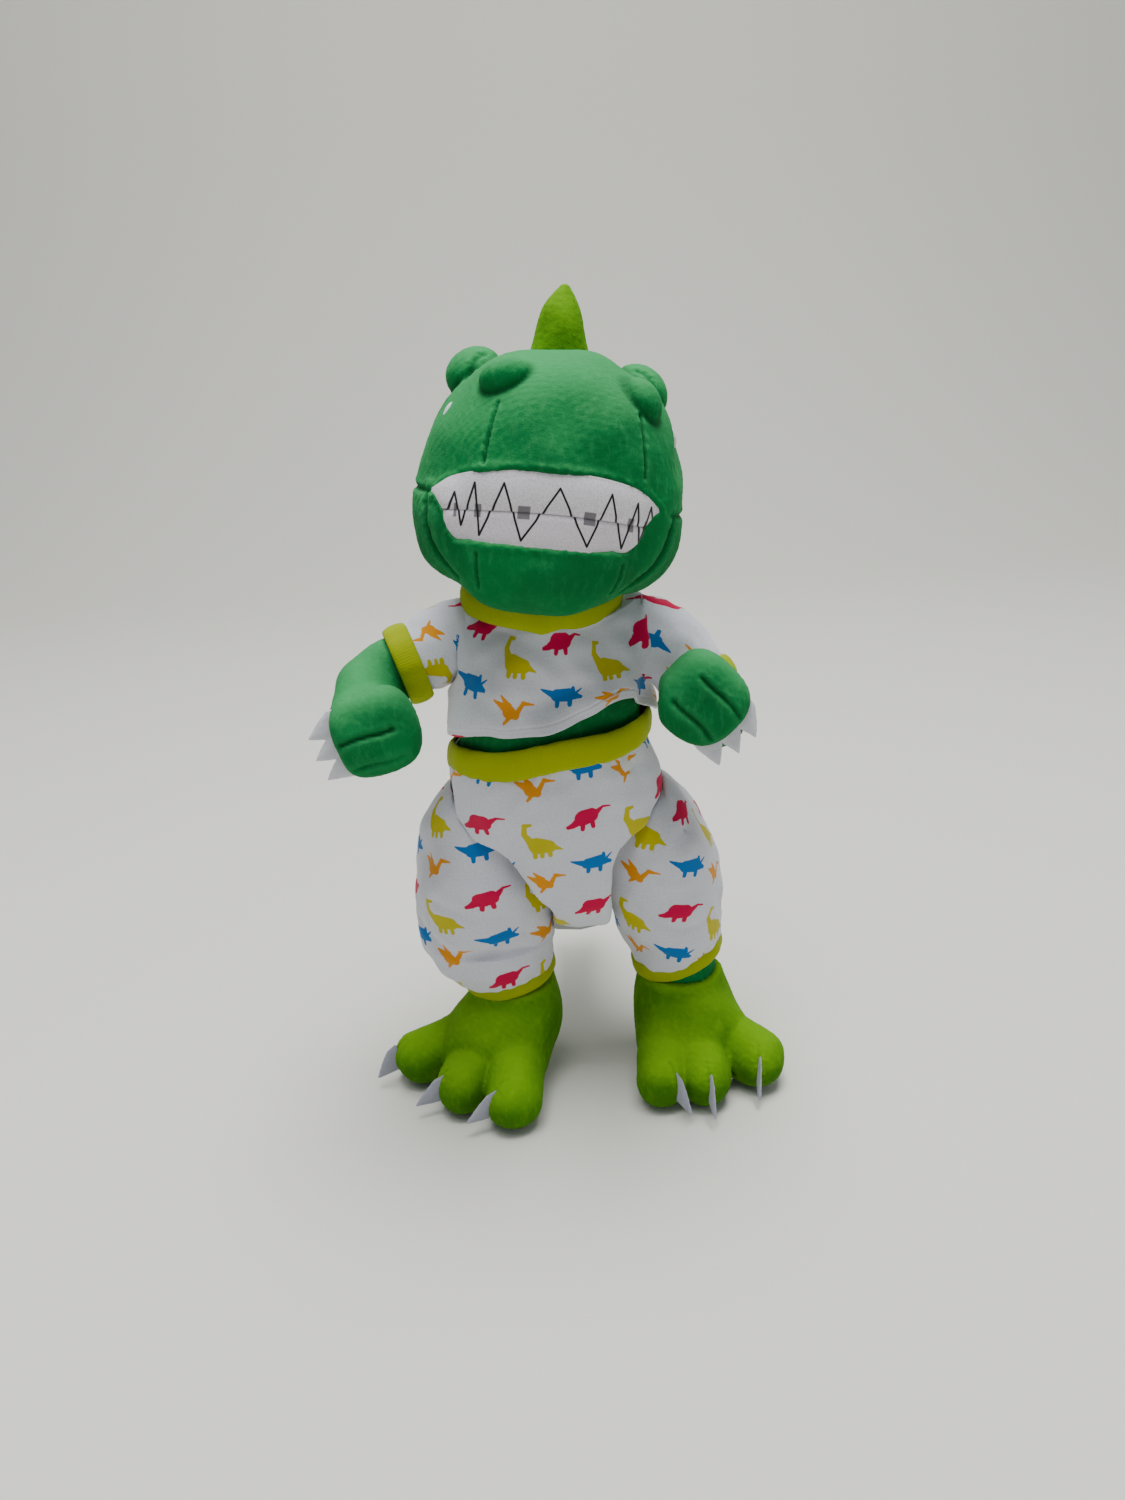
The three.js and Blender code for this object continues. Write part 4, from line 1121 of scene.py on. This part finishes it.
def shirt_rows(angles, hem):
    """The top's points: rings from the hem up, over the shoulders and in to the collar."""
    level = np.stack([np.sin(angles), -np.cos(angles), np.zeros(len(angles))], axis=1)
    rows = []
    for share in np.linspace(0, 1, 44):
        centres = np.broadcast_to(SHIRT_MIDDLE, level.shape).copy()
        centres[:, 2] = hem + (SHIRT_MIDDLE[2] - hem) * share
        rows.append(reach(shirt_form, centres, level, 90))
    for share in np.linspace(0, 1, 40)[1:]:
        rise = math.radians(36) * share
        aim = level * math.cos(rise) + vec(0, 0, math.sin(rise))
        rows.append(reach(shirt_form, np.broadcast_to(SHIRT_MIDDLE, level.shape), aim, 90))
    rows = np.array(rows)
    # The sides stop where the sleeves take over.
    limit = 44 + 6 * smooth_step(226, 212, rows[..., 2])
    beyond = np.maximum(np.abs(rows[..., 0]) - limit, 0)
    rows[..., 0] = np.sign(rows[..., 0]) * (np.abs(rows[..., 0]) - beyond * 0.9)
    inner = COLLAR_CENTRE + (level * 34.5) @ COLLAR_TURN.T - vec(0, 0, 3)
    to_collar = [rows[-1] + (inner - rows[-1]) * share for share in (0.5, 1.0)]
    return np.concatenate([rows, to_collar])


def make_shirt():
    """The body of the top, with folds at the sleeves, a flared hem and the hem's white thread."""
    around = 300
    angles = np.linspace(-math.pi, math.pi, around, endpoint=False)
    hem = through(*np.array(HEM).T, np.degrees(angles))
    rows = shirt_rows(angles, hem)
    count = len(rows)
    points, quads = tube(rows)
    angle_of = np.tile(angles, count)
    above_hem = points[:, 2] - np.tile(hem, count)
    amount = ripple(points, 36, 51, 12) * 1.1 + ripple(points, 15, 52, 14) * 0.3
    flare = 1.2 + 1.0 * np.cos(angle_of * 7 + 1.2) + 0.6 * np.cos(angle_of * 13)
    amount += flare * np.exp(-(above_hem / 9) ** 2)
    amount -= 0.35 * np.exp(-((above_hem - 4.0) / 0.55) ** 2)  # the hem's stitched line
    amount += folds(points, SHIRT_FOLDS)
    amount *= np.clip((count - 1 - np.repeat(np.arange(count), around)) / 6, 0, 1)
    dashes = smooth_step(-0.2, 0.2, np.sin(angle_of * 150))
    thread = -np.exp(-((above_hem - 3.0) / 0.45) ** 2) * dashes
    points, faced = facing_out(points, quads)
    points = pushed(points, faced, amount)
    u = np.broadcast_to(angles * 47, (count, around))
    steps = np.linalg.norm(np.diff(rows[:, around // 2], axis=0), axis=1)
    v = np.broadcast_to((195 + np.concatenate([[0], np.cumsum(steps)]))[:, None], (count, around))
    uv = matched_uv(grid_uv(u, v, True), quads, faced)
    made = piece("top", points, faced, SHIRT_PRINT, "torso", ["shirt_body"], uv, thread)
    thickened(made, 1.3)


def make_collar():
    """The rib collar, which dips to a point in front."""
    def dip(angles):
        from_front = np.arctan2(np.sin(angles), np.cos(angles))
        return -2.6 * np.exp(-np.abs(from_front) / 0.3)
    collar = rib_ring("neck_rib", COLLAR_CENTRE, COLLAR_TURN, COLLAR_RADIUS, COLLAR_HEIGHT, "torso",
                      "shirt_collar", thickness=2.6, drop=dip)
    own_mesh(collar)


SLEEVE = {  # the middle of its cuff is at cuff, and the cuff's axis points toward
    "right": dict(path=[(-34, -3, 238), (-46, -3, 236), (-56, -6, 232), (-65, -9, 228.5)],
                  radii=[17, 18.5, 18.3, 17],
                  cuff=(-67.5, -10.5, 227), toward=(-0.93, -0.22, -0.28)),
    "left": dict(path=[(32, -2, 236), (44, -3, 234), (56, -7, 227), (67, -14, 213)],
                 radii=[17, 18.5, 18.5, 17.2],
                 cuff=(68.5, -15.5, 210.5), toward=(0.5, -0.36, -0.79)),
}
SLEEVE_CUFF_RADIUS = 17.7
SLEEVE_CUFF_LENGTH = 11.5


def across_of(direction):
    """Two directions across a given one, and that one itself."""
    z = unit(direction)
    x = unit(np.cross((0, 1, 0), z))
    return x, np.cross(z, x), z


def make_sleeve(side):
    """A sleeve, curved along its path out from the shoulder, and its rib cuff."""
    shape = SLEEVE[side]
    along, around = 40, 130
    path = spline(np.column_stack([shape["path"], shape["radii"]]), along)
    tangents = np.gradient(path[:, :3], axis=0)
    angles = np.linspace(0, 2 * math.pi, around, endpoint=False)
    rows = []
    for (*centre, radius), tangent in zip(path, tangents):
        first, second, _ = across_of(tangent)
        circle = np.cos(angles)[:, None] * first + np.sin(angles)[:, None] * second
        rows.append(centre + circle * radius)
    points, quads = tube(np.array(rows))
    points, faced = facing_out(points, quads)
    share = np.repeat(np.linspace(0, 1, along), around)
    angle_of = np.tile(angles, along)
    amount = ripple(points, 22, 61, 12) * 0.5 + ripple(points, 9, 62, 12) * 0.2
    amount += np.clip(share * 3 - 2, 0, 1) * (0.25 * np.cos(angle_of * 8 + 1) - 0.6)
    amount -= 1.3 * np.exp(-((share - 0.42) / 0.07) ** 2) * (0.5 + 0.5 * np.cos(angle_of - 2))
    points = pushed(points, faced, amount)
    u = np.broadcast_to(angles * 18, (along, around))
    v = np.broadcast_to(np.linspace(0, 42, along)[:, None], (along, around))
    uv = matched_uv(grid_uv(u, v, True), quads, faced)
    made = piece(f"sleeve_tube_{side}", points, faced, SLEEVE_PRINT[side], None, [f"sleeve_{side}"], uv)
    thickened(made, 1.2)
    start, end = ((vec(SIDES[side] * x, -3, 234) + ORIGIN) * MM for x in (44, 58))
    tuple(start)
    tuple(end)
    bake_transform(made)
    rib_ring(f"arm_rib_{side}", shape["cuff"], np.stack(across_of(shape["toward"]), axis=1),
             SLEEVE_CUFF_RADIUS, SLEEVE_CUFF_LENGTH, f"arm_{side}", f"sleeve_cuff_{side}",
             thickness=2.2, seed=5)


def make_closure():
    """The overlapping edge of the back opening."""
    x, z = np.meshgrid(np.linspace(-7, 7, 14), np.linspace(196, 243, 40))
    centres = np.stack([x, np.zeros_like(x), z], axis=-1)
    behind = np.broadcast_to(vec(0, 1, 0), centres.shape)
    rows = reach(lambda p: shirt_form(p) - 1.8, centres, behind, 80)
    points, quads = patch(rows)
    points = pushed(points, quads, ripple(points, 20, 71, 10) * 0.3)
    quads = quads[:, ::-1]
    uv = (rows[..., ::2].reshape(-1, 2) * (-1, 1) + (140, 0))[quads].reshape(-1, 2)
    made = piece("back_flap", points, quads, SHIRT_PRINT, "torso", ["closure_loops", "closure_hooks"], uv)
    thickened(made, 1.6)


def make_label():
    """A blank satin tab that stands up beside the collar, on the toy's left."""
    angle, share = np.meshgrid(np.linspace(1.75, 2.05, 12), np.linspace(0, 1, 20))
    distance = 38.5 + 8 * share * share
    rows = np.stack([distance * np.sin(angle), -distance * np.cos(angle), 246 + 11 * share], axis=-1)
    rows += COLLAR_CENTRE * (1, 1, 0)
    points, quads = patch(rows)
    made = piece("neck_tab", points, quads, SATIN, "torso", ["neck_label"])
    thickened(made, 0.8)


# ---- claws ---------------------------------------------------------------------------------------

FELT = 2.0  # the claws' thickness


def make_claw(name, node, body, root, forward, up, length, width, hidden, material, hook):
    """A leaf of felt that keeps its width where it is hidden and then comes to a hooked point."""
    y = unit(forward)
    z = unit(np.cross(up, y))
    x = np.cross(y, z)
    along, around = 30, 28
    angles = np.linspace(0, 2 * math.pi, around, endpoint=False)
    rows = []
    for at in np.linspace(-hidden, length, along):
        share = max(at, 0) / length
        half = width / 2 * (1 - share ** 1.15) ** 0.9 + 0.15
        thick = FELT / 2 * (1 - share ** 3) ** 0.5 + 0.12
        oval = np.sign(np.sin(angles)) * np.abs(np.sin(angles)) ** 1.3 * thick
        centre = np.array(root, float) + y * at - x * (width / 2 - half) * hook
        rows.append(centre + np.cos(angles)[:, None] * half * x + oval[:, None] * z)
    points, quads = facing_out(*tube(np.array(rows)))
    points = pushed(points, quads, ripple(points, 3.0, 81, 14) * 0.06)
    piece(name, points, quads, material, body, [node])


# ---- arms ----------------------------------------------------------------------------------------

ARMS = {
    "left": dict(path=[(38, -2, 236), (56, -7, 227), (71, -17, 206), (73, -32, 201), (70, -42, 206),
                       (66, -48, 213)],
                 palm=(65, -52, 216), fingers=(0.62, -0.1, -0.77), knuckles=(0.77, 0, 0.62)),
    "right": dict(path=[(-38, -3, 238), (-62, -8, 230), (-82, -15, 221), (-86, -33, 213), (-81, -48, 209)],
                  palm=(-79, -52, 208), fingers=(-0.95, -0.1, -0.29), knuckles=(-0.29, 0, 0.95)),
}
PALM_CREASES = {"left": (8, -8), "right": (2.5, -11)}  # places across the palm
PALM_HALF = vec(19, 19, 14)  # along the fingers, across them, and through the palm
PALM_SQUARENESS = 3.1


def palm_frame(side):
    """The palm's own axes, as columns: along the fingers, across them, and through the palm."""
    x = unit(ARMS[side]["fingers"])
    z = unit(np.cross(x, ARMS[side]["knuckles"]))
    return np.stack([x, np.cross(z, x), z], axis=1)


def make_arm(side):
    """An arm that ends in a mitten with creases in its palm, and its three claws."""
    shape = ARMS[side]
    frame_of_palm = palm_frame(side)
    centre = vec(*shape["palm"])

    def field(points):
        arm = limb(points, shape["path"], [8, 13] + [14.8] * (len(shape["path"]) - 3) + [13.5])
        palm = rounded((points - centre) @ frame_of_palm, PALM_HALF, PALM_SQUARENESS)
        form = smooth_min(arm, palm, 5)
        return smooth_max(form, 47 - points[..., 0] * SIDES[side], 2)
    path = np.array(shape["path"], float)
    points, quads = surface(field, path.min(axis=0) - 24, path.max(axis=0) + vec(24, 18, 24), 1.1)
    seams = []
    along = np.linspace(-9, 16, 16)
    height = PALM_HALF[2] * (1 - (np.abs(along) / 19.2) ** PALM_SQUARENESS) ** (1 / PALM_SQUARENESS)
    for row in PALM_CREASES[side]:
        for face in (1, -1):
            local = np.stack([along, row + 0.8 * np.sin(along / 5), face * height], axis=1)
            seams.append((local @ frame_of_palm.T + centre, 1.7, 1.15))
    edge = np.linspace(-0.6, math.pi + 0.6, 30)
    rim = np.stack([-18.2 * np.sin(edge), 18.2 * np.cos(edge), np.zeros(30)], axis=1)
    seams.append((rim @ frame_of_palm.T + centre, 0.9, 1.1))
    fur(f"arm_{side}_fur", points, quads, GREEN, f"arm_{side}", [f"arm_skin_{side}"], seams,
        seed=90 + SIDES[side])
    for i, row in enumerate((1, 0, -1)):
        root = centre + frame_of_palm @ vec(18.0 - abs(row), row * 9.5, 2)
        forward = frame_of_palm @ vec(1, row * 0.06, 0)
        make_claw(f"claw_hand_{side}_{i + 1}", f"hand_claw_{side}_{i + 1}", f"arm_{side}", root, forward,
                  frame_of_palm[:, 1], 12, 13, 7, WHITE_FELT, 0.5)


# ---- feet ----------------------------------------------------------------------------------------

TOES = {"left": [(45, -47), (66, -48), (95, -35)], "right": [(-81, -17), (-56, -44), (-30, -58)]}
TOE_RADIUS = 14.8
FOOT_MIDDLE = {"left": (65, -22), "right": (-44, -23)}
CLAW_AIM = {"left": [(0.5, -0.85, -0.5), (0.1, -1, -0.55), (-0.12, -1, -0.6)],
            "right": [(-0.78, -0.2, -0.55), (-0.93, -0.35, -0.28), (-0.93, -0.45, -0.24)]}


def make_foot(side):
    """A lime foot with three toes and claws, and the green ankle above it."""
    x, y = ANKLE[side]
    middle_x, middle_y = FOOT_MIDDLE[side]
    body = f"leg_{side}"

    def field(points):
        instep = [(middle_x, middle_y + 6, 10), (middle_x, middle_y + 3, 16), (x, y, 34), (x, y, 54)]
        form = limb(points, instep, [22, 23, 21.5, 19.6], 5)
        from_ankle = np.hypot(points[..., 0] - x, points[..., 1] - y)
        together = 15 - 13.8 * smooth_step(24, 42, from_ankle)
        for toe_x, toe_y in TOES[side]:
            halfway = (x + (toe_x - x) * 0.5, y + (toe_y - y) * 0.5, 20)
            path = [(x, y, 31), halfway, (toe_x, toe_y, TOE_RADIUS - 0.6)]
            toe = limb(points, path, [15, 14.5, TOE_RADIUS - 0.8], 3, 8)
            form = smooth_min(form, toe, together)
        form = smooth_max(form, points[..., 2] - 53, 3)
        return smooth_max(form, -points[..., 2], 2.5)
    toes = np.array(TOES[side], float)
    low = vec(min(toes[:, 0].min(), x) - 28, toes[:, 1].min() - 20, -4)
    high = vec(max(toes[:, 0].max(), x) + 28, y + 32, 60)
    points, quads = surface(field, low, high, 1.0)
    turn = np.linspace(0, 6.283, 30)
    top_edge = [(x + 19.5 * math.cos(a), y + 19.5 * math.sin(a), 51) for a in turn]
    seams = [(top_edge, 0.8, 1.4)]
    for first, second in zip(TOES[side][:-1], TOES[side][1:]):
        between = (vec(*first) + vec(*second)) / 2
        start = vec(x, y) + (between - vec(x, y)) * 0.65
        path = [(*(start + (between - start) * t), 28 - 18 * t) for t in np.linspace(0, 1.2, 8)]
        seams.append((path, 1.6, 1.7))
    for i, ((toe_x, toe_y), aim) in enumerate(zip(TOES[side], CLAW_AIM[side])):
        ahead = unit((aim[0], aim[1], 0))
        slope = [ahead * math.cos(a) + vec(0, 0, math.sin(a)) for a in np.linspace(-0.35, 1.1, 10)]
        seams.append(([vec(toe_x, toe_y, 14.2) + TOE_RADIUS * way for way in slope], 0.8, 1.1))
        make_claw(f"claw_foot_{side}_{i + 1}", f"foot_claw_{side}_{i + 1}", body,
                  vec(toe_x, toe_y, 15) + ahead * 12.5, aim, (0.1, 0, 1), 14, 14, 5, GREY_FELT, 0.3)
    points[:, 2] = np.maximum(points[:, 2], 0.0)
    made = fur(f"foot_{side}_fur", points, quads, LIME, body, [f"foot_skin_{side}"], seams,
               seed=100 + SIDES[side])
    for vertex in made.data.vertices:
        vertex.co.z = max(vertex.co.z, 0.0)  # the sole rests flat

    def ankle(points):
        upright = np.hypot(points[..., 0] - x, points[..., 1] - y) - 18.6
        form = smooth_max(upright, points[..., 2] - 84, 4)
        return smooth_max(form, 43 - points[..., 2], 3)
    points, quads = surface(ankle, vec(x - 24, y - 24, 38), vec(x + 24, y + 24, 90), 1.3)
    fur(f"ankle_{side}_fur", points, quads, GREEN, body, [f"leg_skin_{side}"],
        seed=110 + SIDES[side])


# ---- the tail ------------------------------------------------------------------------------------

TAIL = [(8, 32, 108), (8, 60, 99), (8, 90, 80), (8, 117, 62)]


def make_tail():
    """The tail behind, which the photograph hides, with a seam below and a lime spike above."""
    def field(points):
        form = limb(points, TAIL, [14, 18.5, 15, 6.5])
        return smooth_max(form, 37 - points[..., 1], 3)
    points, quads = surface(field, vec(-16, 30, 48), vec(32, 130, 130), 1.2)
    under = spline([(8, 46, 86), (8, 66, 76), (8, 90, 64), (8, 116, 55)], 24)
    fur("tail_fur", points, quads, GREEN, "tail", ["tail_skin"], [(under, 1.0, 1.4)],
        seed=121)

    def spike(points):
        return limb(points, [(8, 74, 100), (8, 82, 110), (8, 88, 118)], [8.5, 5.5, 2.4], 2)
    points, quads = surface(spike, vec(-4, 60, 86), vec(20, 96, 124), 0.9)
    fur("tail_tuft", points, quads, LIME, "tail", ["tail_spike"], seed=122)


# ---- all of it -----------------------------------------------------------------------------------

SHIRT_PRINT = printed("shirt_print", (16.0, 32.0), 0.10)
TROUSER_PRINT = printed("trouser_print", (26.0, 12.5), -0.06)
SLEEVE_PRINT = {"left": printed("sleeve_print_left", (3.0, 12.0), 1.4),
                "right": printed("sleeve_print_right", (20.0, 30.0), -1.3)}
LEG_PRINT = {"left": printed("leg_print_left", (14.0, 22.0), 0.18),
             "right": printed("leg_print_right", (30.0, 8.0), -0.15)}


def dress_inner_nodes():
    """Materials for the fillings, pouch and elastic inside, which stay as the CAD has them."""
    filling = felted("fibrefill", rgb(236, 234, 228), rgb(214, 212, 206))
    pouch = plain_cloth("bean_cloth", rgb(150, 150, 150))
    elastic = plain_cloth("elastic", rgb(220, 220, 220))
    for name, inner in frame["nodes"].items():
        if "_stuffing" in name:
            material = filling
        elif name == "bean_pouch":
            material = pouch
        elif name == "waist_elastic":
            material = elastic
        else:
            continue
        inner.data.materials.clear()
        inner.data.materials.append(material)


LAMPS = [("key_lamp", (-0.4, -0.7, 2.2), 1.0, 13), ("fill_lamp", (1.3, -1.0, 0.9), 1.4, 2),
         ("top_lamp", (0.1, 0.0, 2.2), 1.2, 62)]  # (name, place in metres, side, watts)
BEND = 0.8  # radius in metres of the floor's turn into the wall


def make_room():
    """A pale floor that turns up behind, three soft lights and an even sky."""
    rows = []
    for x in (-4.0, 4.0):
        line = [(x, -3.0, 0.0), (x, 1.2, 0.0)]
        line += [(x, 1.2 + BEND * math.sin(a), BEND - BEND * math.cos(a))
                 for a in np.linspace(0.1, math.pi / 2, 12)]
        line.append((x, 2.0, 4.0))
        rows.append(line)
    points, quads = patch(np.array(rows))
    mesh = bpy.data.meshes.new("floor")
    mesh.from_pydata(points.tolist(), [], quads[:, ::-1].tolist())
    for face in mesh.polygons:
        face.use_smooth = True
    mesh.materials.append(PAPER)
    floor = bpy.data.objects.new("floor", mesh)
    bpy.context.collection.objects.link(floor)
    for name, place, size, power in LAMPS:
        light = bpy.data.lights.new(name, "AREA")
        light.size = size
        light.energy = power
        lamp = bpy.data.objects.new(name, light)
        lamp.location = place
        aim = vec(0, 0, 0.2) - vec(*place)
        lamp.rotation_euler = Vector(aim).to_track_quat("-Z", "Y").to_euler()
        bpy.context.collection.objects.link(lamp)
    world = bpy.data.worlds.new("sky")
    world.use_nodes = True
    sky = world.node_tree.nodes["Background"].inputs
    sky["Color"].default_value = (0.9, 0.94, 1.0, 1.0)
    sky["Strength"].default_value = 0.24
    bpy.context.scene.world = world


CAMERA_AT = vec(3, -525, 367)
CAMERA_PITCH = 20  # degrees down
CAMERA_ROLL = 3


def make_camera():
    """About half a metre in front of the toy, level with its head, looking down a little."""
    pitch, roll = math.radians(CAMERA_PITCH), math.radians(CAMERA_ROLL)
    ahead = vec(0, math.cos(pitch), -math.sin(pitch))
    up = vec(0, math.sin(pitch), math.cos(pitch))
    right = vec(1, 0, 0)
    rolled_right = right * math.cos(roll) - up * math.sin(roll)
    rolled_up = right * math.sin(roll) + up * math.cos(roll)
    data = bpy.data.cameras.new("camera")
    data.sensor_fit = "VERTICAL"
    data.sensor_height = 36.0
    data.lens = 27.05
    camera = bpy.data.objects.new("camera", data)
    place = Matrix([[*rolled_right], [*rolled_up], [*(-ahead)]]).transposed().to_4x4()
    place.translation = (CAMERA_AT + ORIGIN) * MM
    camera.matrix_world = place
    bpy.context.collection.objects.link(camera)
    bpy.context.scene.camera = camera


make_camera()
make_room()
make_head()
make_teeth()
for spike in HEAD_SPIKES:
    make_head_spike(*spike)
make_eyes()
make_neck()
make_torso()
make_trouser_body()
make_waistband()
for side in SIDES:
    make_trouser_leg(side)
    make_trouser_cuff(side)
make_shirt()
make_collar()
for side in SIDES:
    make_arm(side)
    make_sleeve(side)
    make_foot(side)
make_closure()
make_label()
make_tail()
dress_inner_nodes()
